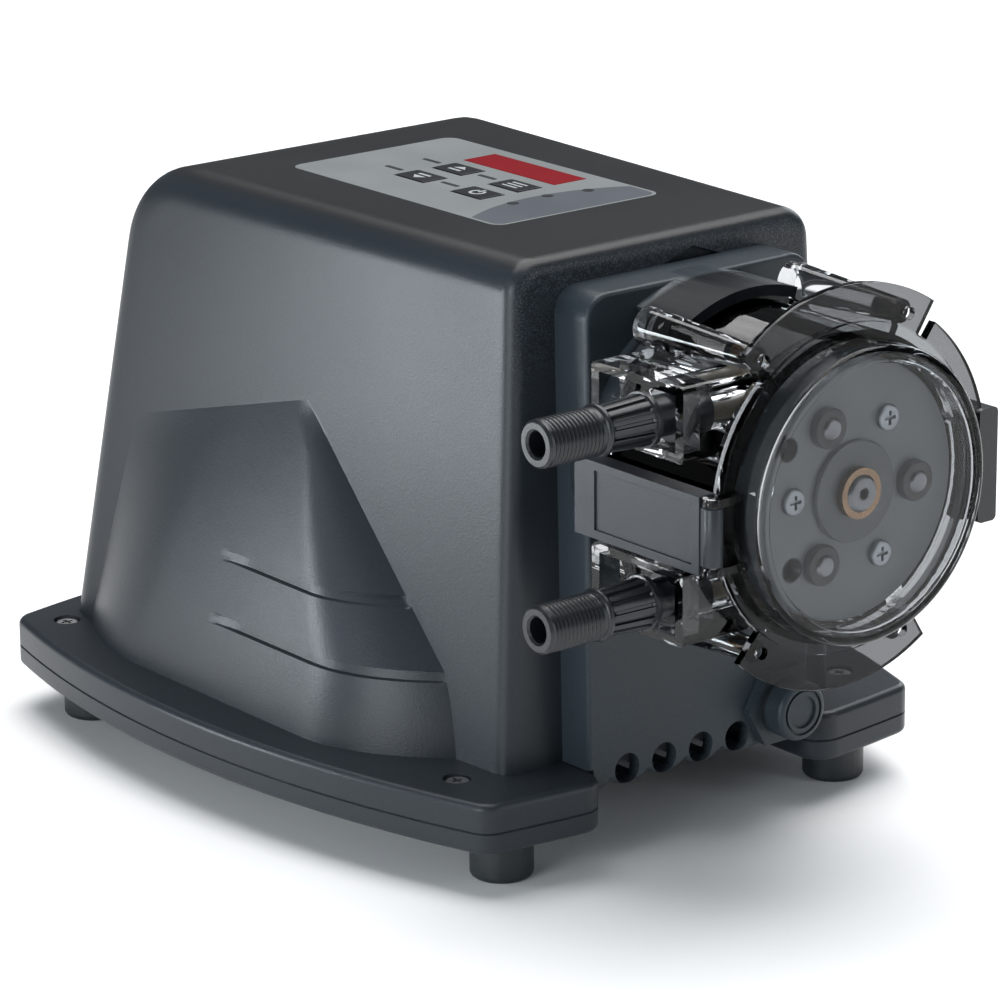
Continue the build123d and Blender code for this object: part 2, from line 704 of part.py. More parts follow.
def shaft_bearings():
    """Two ball bearings: outer ring, balls in their track, and inner ring."""
    bearings = []
    for x0 in (GEARBOX_X + 34, 74.0):
        race = tube_x(11.0, SHAFT_RADIUS + RUNNING, x0, x0 + 7)
        track = Pos(x0 + 3.5, 0, AXIS_Z) * Rot(0, 90, 0) * Torus(8.0, 1.2)
        faces = tube_x(9.0, 7.0, x0 - 1, x0 + 0.8) + tube_x(9.0, 7.0, x0 + 6.2, x0 + 8)
        bearings.append(race - faces - track)
        for i in range(9):
            y, z = polar(8.0, i * 40)
            bearings.append(Pos(x0 + 3.5, y, z) * Sphere(1.15))
    return group(bearings)


def output_shaft():
    shaft = rod_x(SHAFT_RADIUS, GEARBOX_X + 13.5, 139.5)
    shaft = chamfer(shaft.edges().sort_by(Axis.X)[-1], length=0.8)
    return shaft - rod_x(1.6, 135.0, 140.0)


def shaft_seal():
    return tube_x(9.0, SHAFT_RADIUS + RUNNING, HEAD_X + 0.4, HEAD_X + 3.0)


# ---------------------------------------------------------------- front panel
PANEL_TOP = 158.0
PANEL_FOOT = 22.5
LOBE_YS = (-37.4, -24.3, -11.2, 1.9, 15.0)   # shallow round tongues along the foot
LOBE_RADIUS = 11.0
LOBE_FOOT = 20.4
CABLE_HOLE = 4.3           # blind cable entry in each tongue but the first
CABLE_HOLE_Z = 24.9


def panel_outline():
    """Round-topped panel whose foot ends in tongues, level on the socket's side."""
    with BuildSketch(Plane.YZ.offset(50.0)) as outline:
        with Locations((0, (PANEL_FOOT + PANEL_TOP) / 2)):
            Rectangle(2 * PANEL_HALF, PANEL_TOP - PANEL_FOOT)
        fillet(outline.vertices().group_by(Axis.Y)[-1], radius=7.0)
        for y in LOBE_YS:
            with Locations((y, LOBE_FOOT + LOBE_RADIUS)):
                Circle(LOBE_RADIUS)
        with Locations(((LOBE_YS[-1] + PANEL_HALF) / 2, (LOBE_FOOT + AXIS_Z) / 2)):
            Rectangle(PANEL_HALF - LOBE_YS[-1], AXIS_Z - LOBE_FOOT)
        with Locations((0, AXIS_Z)):
            Rectangle(2 * PANEL_HALF, 2 * AXIS_Z, mode=Mode.INTERSECT)
    return outline.sketch


def connector_boss():
    """Six-sided boss around the socket."""
    with BuildSketch(Plane.YZ.offset(PANEL_X - 1)) as hexagon:
        with Locations((CONNECTOR_Y, CONNECTOR_Z)):
            RegularPolygon(12.3, 6)
    boss = extrude(hexagon.sketch, amount=CONNECTOR_FACE_X - PANEL_X + 1)
    return boss & box(60.0, 90.0, -PANEL_HALF, PANEL_HALF, 0, TOP_Z)


def front_panel():
    panel = extrude(panel_outline(), amount=PANEL_X - 50.0)
    panel = fillet(panel.faces().sort_by(Axis.X)[-1].edges(), radius=1.2)
    panel = panel + connector_boss()
    for side in (-1, 1):
        lug_room = box(50.0, 90.0, BAY_HALF - 0.3, PANEL_HALF + 1, 0, FLANGE_TOP + 0.2)
        panel = panel - (lug_room if side > 0 else mirror_y(lug_room))
    panel = panel + rod_x(40.0, 70.0, BRACKET_X)
    panel = panel + hood()
    for y in LOBE_YS[1:]:
        panel = panel - rod_x(CABLE_HOLE, 70.0, PANEL_X + 1, y - 1.0, CABLE_HOLE_Z)
    panel = panel - box(60.0, 72.0, -30.0, 19.0, LOBE_FOOT + 1.2, 30.0)
    panel = panel - body_block(SEAM_Z, TOP_Z)
    panel = panel - rod_x(14.2, 60.0, GEARBOX_X + 42.2)
    panel = panel - rod_x(11.0, 74.0, 81.0)
    panel = panel - rod_x(7.5, 60.0, BRACKET_X + 1)
    for y, z in head_screw_places():
        panel = panel - rod_x(1.6, 72.0, BRACKET_X + 1, y, z)
    return panel - connector_hole()


def hood():
    """Curved roof over the back of the tube housing."""
    return sector_x(46.4, 43.4, 70.0, 97.0, 70.5, 118.5)


def head_screw_places():
    return [polar(33.5, angle) for angle in (45, 135, 225, 315)]


def connector_hole():
    return rod_x(5.2, 60.0, CONNECTOR_FACE_X + 1, CONNECTOR_Y, CONNECTOR_Z)


def connector_body():
    """Signal socket in the lower front panel."""
    face = CONNECTOR_FACE_X
    body = rod_x(5.2, 66.5, face, CONNECTOR_Y, CONNECTOR_Z)
    body = body + rod_x(8.0, face, face + 2.0, CONNECTOR_Y, CONNECTOR_Z)
    body = body - rod_x(3.8, 69.0, face + 4, CONNECTOR_Y, CONNECTOR_Z)
    return group([body] + connector_pins())


def connector_cap():
    """Screw cap with a ring groove and a shallow centre."""
    back, front = CONNECTOR_FACE_X + 2.0, CONNECTOR_FACE_X + 8.5
    cap = rod_x(8.4, back, front, CONNECTOR_Y, CONNECTOR_Z)
    cap = fillet(cap.edges().sort_by(Axis.X)[-1], radius=1.6)
    cap = cap + rod_x(3.8, 70.0, back + 1, CONNECTOR_Y, CONNECTOR_Z)
    cap = cap - tube_x(6.6, 5.8, front - 0.7, front + 1, CONNECTOR_Y, CONNECTOR_Z)
    return cap - rod_x(4.6, front - 0.8, front + 1, CONNECTOR_Y, CONNECTOR_Z)


def connector_pins():
    pins = []
    for i in range(4):
        turn = math.radians(45 + 90 * i)
        y = CONNECTOR_Y + 2.4 * math.cos(turn)
        z = CONNECTOR_Z + 2.4 * math.sin(turn)
        pins.append(rod_x(0.6, 60.0, 66.5, y, z))
    return pins


def head_bracket():
    """Mounting plate of the head, with an arm on each side of the tube housing."""
    plate = rod_x(43.2, BRACKET_X, HEAD_X)
    blank = box(BRACKET_X, ARM_END_X, -50.0, -44.5, 98.6, 119.4)
    plate = plate + blank + box(BRACKET_X, HEAD_X, -50.0, -35.0, 98.6, 119.4)
    plate = plate - box(92.0, ARM_END_X - 2.9, -51.0, -49.4, 101.0, 117.0)
    plate = plate + box(BRACKET_X, 127.0, 44.2, 50.0, 96.0, 119.0)
    plate = plate + box(BRACKET_X, HEAD_X, 35.0, 50.0, 96.0, 119.0)
    plate = plate + bracket_knuckle(101.3, 116.7)
    for z0, z1 in ((98.0, 101.3), (116.7, 120.0)):
        plate = plate - rod_z(2.9, z0, z1, HINGE_X, HINGE_Y)
    plate = plate - rod_z(1.2, 97.0, 121.0, HINGE_X, HINGE_Y)
    plate = plate - latch_slot()
    for y, z in head_screw_places():
        plate = plate - rod_x(1.8, BRACKET_X - 1, HEAD_X + 1, y, z)
    return plate - rod_x(7.5, BRACKET_X - 1, HEAD_X + 1)


def latch_slot():
    return box(98.0, 122.0, 47.0, 51.0, 104.6, 110.4)


def bracket_knuckle(z0, z1):
    """Barrel on the hinge pin with a web back to the arm."""
    barrel = rod_z(2.6, z0, z1, HINGE_X, HINGE_Y)
    return barrel + box(129.0, HINGE_X - 0.5, HINGE_Y - 2.4, HINGE_Y + 1.2, z0, z1)


def cover_knuckle(z0, z1):
    """Barrel on the hinge pin with a web in front of the arm to the cover's rim."""
    barrel = rod_z(2.6, z0, z1, HINGE_X, HINGE_Y)
    return barrel + box(ARM_END_X + 0.4, HINGE_X + 2.6, HINGE_Y, -37.6, z0, z1)


def hinge_pin():
    return rod_z(1.2, 99.0, 119.0, HINGE_X, HINGE_Y)


def head_screws():
    screw = Rot(0, 90, 0) * pan_screw(3.2, 2.0, 1.6, 17.0)
    return group([Pos(HEAD_X + 3, y, z) * screw for y, z in head_screw_places()])


# ---------------------------------------------------------------- tube housing
PORTS = {"discharge": AXIS_Z + PORT_OFFSET, "suction": AXIS_Z - PORT_OFFSET}
BOSS_ANGLES = (126.0, -126.0, 63.0, -64.0)


def port_block(z):
    """Clear socket that holds one tube fitting, open towards -Y."""
    block = box(91.0, 127.0, -50.0, -16.0, z - 10.0, z + 10.0)
    block = fillet(block.edges().filter_by(Axis.Y), radius=1.5)
    return block


def port_recess(z):
    recess = box(94.0, 124.0, -51.0, -43.0, z - 7.6, z + 7.6)
    return recess


def tube_housing():
    shell = rod_x(HEAD_RADIUS, HEAD_X, HEAD_FRONT_X)
    shell = shell + rod_x(43.2, HEAD_X, HEAD_X + 3)
    for z in PORTS.values():
        shell = shell + port_block(z)
    for angle in BOSS_ANGLES:
        y, z = polar(48.0, angle)
        shell = shell + cone_x(5.4, 3.2, HEAD_X, 129.0, y, z)
        shell = shell + boss_web(angle)
    shell = shell - rod_x(TRACK_RADIUS, HEAD_X + 3, HEAD_FRONT_X + 1)
    shell = shell - rod_x(9.0, HEAD_X + 0.4, HEAD_X + 4)
    shell = shell - rod_x(7.5, HEAD_X - 1, HEAD_X + 1)
    for z in PORTS.values():
        shell = shell - port_recess(z)
        shell = shell - rod_y(5.0, -44.0, -18.0, PORT_X, z)
    for angle in BOSS_ANGLES:
        y, z = polar(48.0, angle)
        shell = shell - rod_x(1.5, 120.0, 130.0, y, z)
    for y, z in head_screw_places():
        shell = shell - rod_x(1.8, HEAD_X - 1, HEAD_X + 4, y, z)
    return shell


def boss_web(angle):
    """Rib that ties a boss to the round wall."""
    rib = box(HEAD_X, 128.0, 39.0, 47.0, AXIS_Z - 1.2, AXIS_Z + 1.2)
    return rib.rotate(Axis((0, 0, AXIS_Z), (1, 0, 0)), angle)


def boss_inserts():
    """Brass thread inserts in the ends of the bosses."""
    return group([tube_x(1.5, 0.8, 122.0, 129.0, *polar(48.0, angle)) for angle in BOSS_ANGLES])


def port_fitting(z):
    """Threaded port with a ribbed collar, held by its flange in the clear socket."""
    tip = rod_y(THREAD_RADIUS, PORT_TIP_Y, -69.0, PORT_X, z)
    tip = chamfer(tip.edges().sort_by(Axis.Y)[0], length=0.9)
    fitting = tip + rod_y(6.9, -69.5, -67.5, PORT_X, z)
    fitting = fitting + rod_y(6.2, -68.0, -53.5, PORT_X, z)
    fitting = fitting + rod_y(7.4, -45.0, -43.0, PORT_X, z)
    fitting = fitting + rod_y(5.0, -44.0, -36.0, PORT_X, z)
    fitting = fitting + rod_y(TUBE_BORE, -37.0, -31.0, PORT_X, z)
    ribs = 14
    for i in range(ribs):
        rib = box(PORT_X - 0.7, PORT_X + 0.7, -67.0, -53.5, z + 5.8, z + 7.1)
        fitting = fitting + rib.rotate(Axis((PORT_X, 0, z), (0, 1, 0)), i * 360 / ribs)
    fitting = fitting - rod_y(PORT_BORE, PORT_TIP_Y - 1, -46.0, PORT_X, z)
    return fitting - rod_y(1.5, -47.0, -30.0, PORT_X, z)


def fitting_spool(z):
    """Neck and lock ring between the collar and the socket."""
    neck = rod_y(5.4, -53.5, -45.0, PORT_X, z)
    return neck - rod_y(PORT_BORE, -54.0, -46.0, PORT_X, z)


def pump_tube():
    """Flexible tube: in at the upper port, round the rollers, out at the lower port."""
    swing = 12.0
    turn = math.acos((PORT_OFFSET + swing) / (TUBE_ROUTE_RADIUS + swing))
    bend_y = -(TUBE_ROUTE_RADIUS + swing) * math.sin(turn)
    join_y = bend_y + swing * math.sin(turn)
    join_rise = PORT_OFFSET + swing * (1 - math.cos(turn))
    half = turn / 2
    mid_y = bend_y + swing * math.sin(half)
    mid_rise = PORT_OFFSET + swing * (1 - math.cos(half))
    start_y = -36.0
    x = PORT_X
    with BuildLine() as route:
        Line((x, start_y, AXIS_Z + PORT_OFFSET), (x, bend_y, AXIS_Z + PORT_OFFSET))
        ThreePointArc(
            (x, bend_y, AXIS_Z + PORT_OFFSET),
            (x, mid_y, AXIS_Z + mid_rise),
            (x, join_y, AXIS_Z + join_rise),
        )
        ThreePointArc(
            (x, join_y, AXIS_Z + join_rise),
            (x, TUBE_ROUTE_RADIUS, AXIS_Z),
            (x, join_y, AXIS_Z - join_rise),
        )
        ThreePointArc(
            (x, join_y, AXIS_Z - join_rise),
            (x, mid_y, AXIS_Z - mid_rise),
            (x, bend_y, AXIS_Z - PORT_OFFSET),
        )
        Line((x, bend_y, AXIS_Z - PORT_OFFSET), (x, start_y, AXIS_Z - PORT_OFFSET))
    start = Plane((x, start_y, AXIS_Z + PORT_OFFSET), z_dir=(0, 1, 0))
    with BuildSketch(start) as ring:
        Circle(TUBE_RADIUS)
        Circle(TUBE_BORE, mode=Mode.SUBTRACT)
    return sweep(ring.sketch, path=route.wire())


# ---------------------------------------------------------------- roller assembly
def roller_plate_front():
    plate = rod_x(PLATE_RADIUS, 130.7, 135.0)
    plate = fillet(plate.edges().sort_by(Axis.X)[-1], radius=0.8)
    plate = plate + rod_x(13.6, 134.0, 136.6)
    for angle in ROLLER_ANGLES:
        plate = plate + rod_x(5.4, 134.0, 137.4, *polar(ROLLER_ORBIT, angle))
    for angle in ROLLER_ANGLES:
        plate = plate - rod_x(ROLLER_PIN_RADIUS, 130.0, 138.0, *polar(ROLLER_ORBIT, angle))
    for angle in POST_ANGLES:
        plate = plate - rod_x(1.6, 130.0, 136.0, *polar(ROLLER_ORBIT, angle))
    for angle in (146.0, -140.0):
        plate = plate - rod_x(3.1, 130.0, 136.0, *polar(27.0, angle))
    return plate - rod_x(SHAFT_RADIUS, 130.0, 138.0)


def roller_plate_rear():
    plate = rod_x(PLATE_RADIUS, 95.0, 99.3) + rod_x(9.0, 99.0, 130.7)
    for angle in POST_ANGLES:
        post = rod_x(3.8, 99.0, 130.7, *polar(ROLLER_ORBIT, angle))
        plate = plate + (post - rod_x(1.6, 118.0, 131.0, *polar(ROLLER_ORBIT, angle)))
    for angle in ROLLER_ANGLES:
        plate = plate - rod_x(ROLLER_PIN_RADIUS, 94.0, 100.0, *polar(ROLLER_ORBIT, angle))
    return plate - rod_x(SHAFT_RADIUS, 94.0, 131.0)


def roller_pins():
    pins = []
    for angle in ROLLER_ANGLES:
        pin = rod_x(ROLLER_PIN_RADIUS, 95.0, 138.2, *polar(ROLLER_ORBIT, angle))
        pins.append(chamfer(pin.edges().sort_by(Axis.X)[-1], length=0.6))
    return group(pins)


def roller(angle):
    body = tube_x(ROLLER_RADIUS, ROLLER_PIN_RADIUS + RUNNING, 99.8, 130.2)
    body = chamfer(body.edges().group_by(Axis.X)[0], length=0.25)
    return Pos(0, polar(ROLLER_ORBIT, angle)[0], polar(ROLLER_ORBIT, angle)[1] - AXIS_Z) * body


def plate_screws():
    screw = Rot(0, 90, 0) * pan_screw(3.5, 1.6, 1.6, 14.0)
    return group([Pos(135.0, *polar(ROLLER_ORBIT, angle)) * screw for angle in POST_ANGLES])


def shaft_collar():
    """Brass retaining collar on the end of the shaft."""
    return tube_x(6.8, SHAFT_RADIUS, 136.6, 138.6)


# ---------------------------------------------------------------- head cover
COVER_INNER = 37.6
DOME_RADIUS = 39.8


def head_cover():
    cover = rod_x(44.0, HEAD_FRONT_X, 134.4)
    dome = rod_x(DOME_RADIUS, 133.0, HALF_LENGTH)
    dome = fillet(dome.edges().sort_by(Axis.X)[-1], radius=2.2)
    cover = cover + dome
    cover = cover + sector_x(54.0, 42.0, HEAD_FRONT_X, 133.2, 56, 131)
    cover = cover + sector_x(54.0, 42.0, HEAD_FRONT_X, 133.2, -132, -58)
    cover = cover + sector_x(49.6, 42.0, HEAD_FRONT_X, 133.6, 15, 52)
    cover = cover + cover_knuckle(98.8, 101.0) + cover_knuckle(117.0, 119.2)
    cover = cover - rod_x(COVER_INNER, HEAD_FRONT_X - 1, 141.4)
    cover = cover - dish()
    cover = cover - rod_z(1.2 + RUNNING, 97.0, 121.0, HINGE_X, HINGE_Y)
    for angle in BOSS_ANGLES:
        cover = cover - rod_x(1.7, HEAD_FRONT_X - 1, 134.0, *polar(48.0, angle))
    return cover


def dish():
    """Shallow dished recess inside the raised rim of the cover."""
    recess = rod_x(36.0, 142.9, HALF_LENGTH + 1)
    return fillet(recess.edges().sort_by(Axis.X)[0], radius=1.0)


def head_latch():
    """Sliding latch on the side away from the ports."""
    block = box(104.0, 130.6, 50.3, 57.0, 91.5, 123.0)
    block = fillet(block.edges().filter_by(Axis.X), radius=1.5)
    for i in range(5):
        x = 107.0 + 3.2 * i
        block = block - box(x, x + 1.4, 56.2, 58.0, 94.0, 120.5)
    return block + box(107.0, 113.0, 47.3, 50.4, 104.9, 110.1)


PARTS = {
    "housing_shell": housing_shell,
    "base_plate": base_plate,
    "base_gasket": gasket_band,
    "rubber_feet": rubber_feet,
    "foot_screws": foot_screws,
    "flange_screws": flange_screws,
    "keypad_label": keypad_label,
    "display_window": display_window,
    "led_indicators": led_indicators,
    "key_switches": key_switches,
    "control_board": control_board,
    "control_chips": control_chips,
    "board_screws": board_screws,
    "display_module": display_module,
    "power_board": power_board,
    "transformer": transformer,
    "power_capacitors": power_capacitors,
    "power_components": power_components,
    "motor_can": motor_can,
    "motor_endcap": motor_endcap,
    "motor_stator": motor_stator,
    "motor_bushes": motor_bushes,
    "motor_shaft": motor_shaft,
    "motor_core": motor_core,
    "motor_fan": motor_fan,
    "drive_pinion": drive_pinion,
    "idler_gear": idler_gear,
    "idler_pin": idler_pin,
    "output_gear": output_gear,
    "gearbox_case": gearbox_case,
    "gearbox_cover": gearbox_cover,
    "gearbox_screws": gearbox_screws,
    "shaft_bearings": shaft_bearings,
    "output_shaft": output_shaft,
    "shaft_seal": shaft_seal,
    "front_panel": front_panel,
    "connector_body": connector_body,
    "connector_cap": connector_cap,
    "head_bracket": head_bracket,
    "hinge_pin": hinge_pin,
    "head_screws": head_screws,
    "tube_housing": tube_housing,
    "boss_inserts": boss_inserts,
    "pump_tube": pump_tube,
    "roller_plate_front": roller_plate_front,
    "roller_plate_rear": roller_plate_rear,
    "roller_pins": roller_pins,
    "plate_screws": plate_screws,
    "shaft_collar": shaft_collar,
    "head_cover": head_cover,
    "head_latch": head_latch,
}


def main():
    os.makedirs("parts", exist_ok=True)
    for name, maker in PARTS.items():
        save(name, maker())
    for name, place in KEYS.items():
        save(name, key_piece(place))
    for number, angle in enumerate(ROLLER_ANGLES, start=1):
        save(f"roller_{number}", roller(angle))
    for name, z in PORTS.items():
        save(f"{name}_fitting", port_fitting(z) + fitting_spool(z))


if __name__ == "__main__":
    main()
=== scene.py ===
import bmesh
import bpy
import math
import numpy as np
from mathutils import Matrix, Vector


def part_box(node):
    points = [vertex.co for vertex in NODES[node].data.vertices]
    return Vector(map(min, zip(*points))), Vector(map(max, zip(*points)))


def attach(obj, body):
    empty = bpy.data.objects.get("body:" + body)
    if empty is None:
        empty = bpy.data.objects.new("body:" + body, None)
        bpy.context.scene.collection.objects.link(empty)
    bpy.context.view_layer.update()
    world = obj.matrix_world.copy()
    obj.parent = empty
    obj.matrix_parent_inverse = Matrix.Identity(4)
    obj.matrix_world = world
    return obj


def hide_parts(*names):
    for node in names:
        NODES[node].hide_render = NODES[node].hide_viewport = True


# Looks of a peristaltic metering pump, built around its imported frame.  Shapes are worked
# out in millimetres and stored in metres.  +X points at the pump head, -Y at the side
# with the tube ports, +Z up.

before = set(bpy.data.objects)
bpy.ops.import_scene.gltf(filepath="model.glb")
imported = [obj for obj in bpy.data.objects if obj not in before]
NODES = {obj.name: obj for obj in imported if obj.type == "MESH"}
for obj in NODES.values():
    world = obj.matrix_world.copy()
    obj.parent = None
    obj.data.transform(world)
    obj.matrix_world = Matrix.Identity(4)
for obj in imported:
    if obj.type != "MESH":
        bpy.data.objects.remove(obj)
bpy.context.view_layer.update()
MM = 0.001


# ---- sizes from the frame
def corners(node):
    low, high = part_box(node)
    return np.array(low) / MM, np.array(high) / MM


def middle(node):
    low, high = corners(node)
    return (low + high) / 2


SHELL_LOW, SHELL_HIGH = corners("housing_shell")
TOP_Z = SHELL_HIGH[2]
SEAM_Z = SHELL_LOW[2]
BASE_Z = corners("base_plate")[0][2]
HALF_LENGTH = -SHELL_LOW[0]
AXIS_Z = middle("roller_plate_front")[2]
LABEL_LOW, LABEL_HIGH = corners("keypad_label")
KEY_NAMES = ("key_up", "key_down", "key_mode", "key_power")
PORT_NODES = ("discharge_fitting", "suction_fitting")

# ---- housing dimensions
WALL = 3.0
FLANGE_TOP = 27.0
FLANGE_CORNERS = ((79.0, 76.0), (-134.0, 84.0))  # front and rear corners before rounding
FLANGE_CROWN = (-25.0, 96.3)
FLANGE_FRONT_BOW = 6.0
FLANGE_CORNER_RADIUS = 7.0
FLANGE_RIM_RADIUS = 2.0
BAY_HALF = 37.3  # half width of the bay between the front lugs
BAY_X = 60.0
BASE_BAY_X = 54.6
LUG_CORNER = 7.5
SEAM_CHAMFER = 0.35
FRONT_XS = (65.3, 62.3)  # front wall at the flange and at the top
BACK_XS = (-130.0, -106.0)
FRONT_HALVES = (58.5, 52.0)
BACK_HALVES = (68.5, 58.5)
REAR_RADIUS = 27.0
SIDE_RADIUS = 9.0
FRONT_RADIUS = 4.5
ARCH_HALF = 81.5
ARCH_BASE_LEFT = -118.0
ARCH_LEFT_LEAN = 0.30
ARCH_PEAK = (-21.0, 113.0)
ARCH_SLOPE = 0.957
ARCH_KNEE_Z = 50.0
ARCH_KNEE_BEND = (9.0, 3.3)
ARCH_REACH = 42.0  # distance from its edges at which an arch stands at full depth
ARCH_LEAST_REACH = 0.2  # share of that distance left near the roof
ARCH_ROOF_POWER = 1.3
ROOF_START = (-98.0, 93.0)
ROOF_SLOPE = 0.26
GROOVE_ZS = (47.0, 64.5)
GROOVE_HEIGHT = 3.0
GROOVE_DEPTH = 1.2
GROOVE_START_X = -43.0
GROOVE_TAPER = 11.0
GROOVE_WALL = 0.35  # height over which a groove reaches its depth
GROOVE_MARGIN = 0.4
BORE_RADIUS = 4.0
BORE_DEPTH = 2.6
SCREW_HEAD = 3.5
FRONT_SCREW_Y = 68.5
KEY_GAP = 0.35
KEY_CORNER = 1.2
KEY_WELL_DEPTH = 1.9
WINDOW_WELL_DEPTH = 2.0
LABEL_CORNER = 4.0
VENT_OUTLINE = ((-3.0, 157.5), (9.0, 161.5), (20.0, 157.5), (17.0, 153.0))  # (y, z)
VENT_DEPTH = 1.6
TRAY_RIM_RADIUS = 1.5
TRAY_FLOOR = 2.5
TRAY_FRONT_X = 52.0

# heights of the grid lines of a side wall between its creases and grooves
WALL_LEVELS = (22.0, 25.0, 28.2, 30.0, 32.5, 35.0, 37.5, 40.0, 42.5, 44.8, 52.5, 54.8, 57.0)
WALL_LEVELS += (59.2, 61.4, 63.0, 70.0, 72.0, 74.0)
REAR_SPLIT_Z = 86.0  # where the grid's roof line leaves the rear and the front edge
FRONT_SPLIT_Z = 128.0
TOP_SPLIT_XS = (-58.0, 2.0)
RIM_SHARE = 0.17  # outer part of the half width where the grid is crowded


def lerp(a, b, t):
    return a + (b - a) * t


def share(z):
    return (z - FLANGE_TOP) / (TOP_Z - FLANGE_TOP)


def front_x(z):
    return lerp(*FRONT_XS, share(z))


def back_x(z):
    return lerp(*BACK_XS, share(z))


def half_width(x, z):
    """Half width of the tapered housing, without its arches."""
    along = (front_x(z) - x) / (front_x(z) - back_x(z))
    return lerp(lerp(*FRONT_HALVES, share(z)), lerp(*BACK_HALVES, share(z)), along)


def arch_right(z):
    """Front crease of a side arch: a straight rake that turns down near the flange."""
    knee_x = ARCH_PEAK[0] + (ARCH_PEAK[1] - ARCH_KNEE_Z) * ARCH_SLOPE
    low = np.clip((ARCH_KNEE_Z - z) / (ARCH_KNEE_Z - FLANGE_TOP), 0.0, 1.4)
    rake = ARCH_PEAK[0] + (ARCH_PEAK[1] - z) * ARCH_SLOPE
    out, back = ARCH_KNEE_BEND
    return np.where(z > ARCH_KNEE_Z, rake, knee_x + out * low - back * low * low)


def arch_left(z):
    return ARCH_BASE_LEFT + ARCH_LEFT_LEAN * (z - FLANGE_TOP)


def arch_top(x):
    return ROOF_START[1] + ROOF_SLOPE * (x - ROOF_START[0])


def arch_depth(x, z):
    """How far an arch stands out of the side wall."""
    full = ARCH_HALF - half_width(x, FLANGE_TOP)
    rise = np.maximum(z - FLANGE_TOP, 0.0) / (arch_top(x) - FLANGE_TOP)
    roof = np.clip(1.0 - rise ** ARCH_ROOF_POWER, 0.0, 1.0)
    reach = ARCH_REACH * np.maximum(roof, ARCH_LEAST_REACH)
    right = np.clip((arch_right(z) - x) / reach, 0.0, 1.0)
    left = np.clip((x - arch_left(z)) / ARCH_REACH, 0.0, 1.0)
    return full * roof * right * (2 - right) * left * (2 - left)


def groove(x, z):
    """Depth of the two level grooves in the front half of an arch."""
    depth = np.zeros_like(x)
    for low in GROOVE_ZS:
        inside = np.minimum(z - low, low + GROOVE_HEIGHT - z)
        depth += np.clip(inside / GROOVE_WALL, 0.0, 1.0)
    fade = np.clip((x - GROOVE_START_X) / GROOVE_TAPER, 0.0, 1.0)
    return GROOVE_DEPTH * depth * fade


# ---- mesh helpers
def link(name, data):
    obj = bpy.data.objects.new(name, data)
    bpy.context.scene.collection.objects.link(obj)
    return obj


def mesh_object(name, points, faces):
    """Object from points in millimetres; doubled points are joined and normals made to agree."""
    mesh = bpy.data.meshes.new(name)
    mesh.from_pydata([tuple(p) for p in np.asarray(points, float) * MM], [], faces)
    edit = bmesh.new()
    edit.from_mesh(mesh)
    bmesh.ops.remove_doubles(edit, verts=edit.verts, dist=2e-6)
    bmesh.ops.dissolve_degenerate(edit, edges=edit.edges, dist=1e-7)
    bmesh.ops.holes_fill(edit, edges=edit.edges, sides=0)
    bmesh.ops.recalc_face_normals(edit, faces=edit.faces)
    edit.to_mesh(mesh)
    edit.free()
    return link(name, mesh)


class Patches:
    """Collects grids of points as one mesh."""

    def __init__(self):
        self.points = []
        self.faces = []

    def add(self, grid, wrap=False):
        rows, columns = grid.shape[:2]
        start = len(self.points)
        self.points.extend(grid.reshape(-1, 3))
        last = columns if wrap else columns - 1
        for i in range(rows - 1):
            for j in range(last):
                k = (j + 1) % columns
                a, b = start + i * columns, start + (i + 1) * columns
                self.faces.append((a + j, a + k, b + k, b + j))

    def cap(self, ring):
        start = len(self.points)
        self.points.extend(ring)
        self.faces.append(tuple(range(start, start + len(ring))))

    def build(self, name):
        return mesh_object(name, self.points, self.faces)


def smooth(obj, angle=32.0):
    """Soft shading with crisp edges above an angle."""
    mesh = obj.data
    mesh.shade_smooth()
    mesh.set_sharp_from_angle(angle=math.radians(angle))
    modifier = obj.modifiers.new("even_shading", "WEIGHTED_NORMAL")
    modifier.keep_sharp = True
    modifier.weight = 80
    return obj


def boolean(obj, other, operation):
    """Cuts or joins another solid into an object, and removes the other."""
    modifier = obj.modifiers.new("join", "BOOLEAN")
    modifier.operation = operation
    modifier.solver = "EXACT"
    modifier.object = other
    graph = bpy.context.evaluated_depsgraph_get()
    made = bpy.data.meshes.new_from_object(obj.evaluated_get(graph))
    obj.modifiers.clear()
    old = obj.data
    obj.data = made
    bpy.data.meshes.remove(old)
    bpy.data.objects.remove(other)


def loft(name, rings):
    """Solid through rings of points, closed at both ends."""
    made = Patches()
    made.add(np.array(rings), wrap=True)
    made.cap(rings[0])
    made.cap(rings[-1])
    return made.build(name)


def prism(name, outline, z0, z1):
    """Solid over an outline of (x, y) points."""
    return loft(name, [np.array([(x, y, z) for x, y in outline]) for z in (z0, z1)])


def rectangle(x0, x1, y0, y1, radius=0.0, steps=6):
    if radius == 0.0:
        return [(x0, y0), (x1, y0), (x1, y1), (x0, y1)]
    outline = []
    centres = ((x1 - radius, y1 - radius), (x0 + radius, y1 - radius))
    centres += ((x0 + radius, y0 + radius), (x1 - radius, y0 + radius))
    for quarter, (cx, cy) in enumerate(centres):
        for i in range(steps + 1):
            turn = math.radians(90 * (quarter + i / steps))
            outline.append((cx + radius * math.cos(turn), cy + radius * math.sin(turn)))
    return outline


def circle(x, y, radius, steps=32):
    turns = [2 * math.pi * i / steps for i in range(steps)]
    return [(x + radius * math.cos(t), y + radius * math.sin(t)) for t in turns]


def spaced(count, start=1.0, end=1.0):
    """count + 1 values from 0 to 1; start and end above 1 crowd them towards that side."""
    t = np.linspace(0.0, 1.0, count + 1)
    low, high = t ** start, 1 - (1 - t) ** end
    return low * (1 - t) + high * t


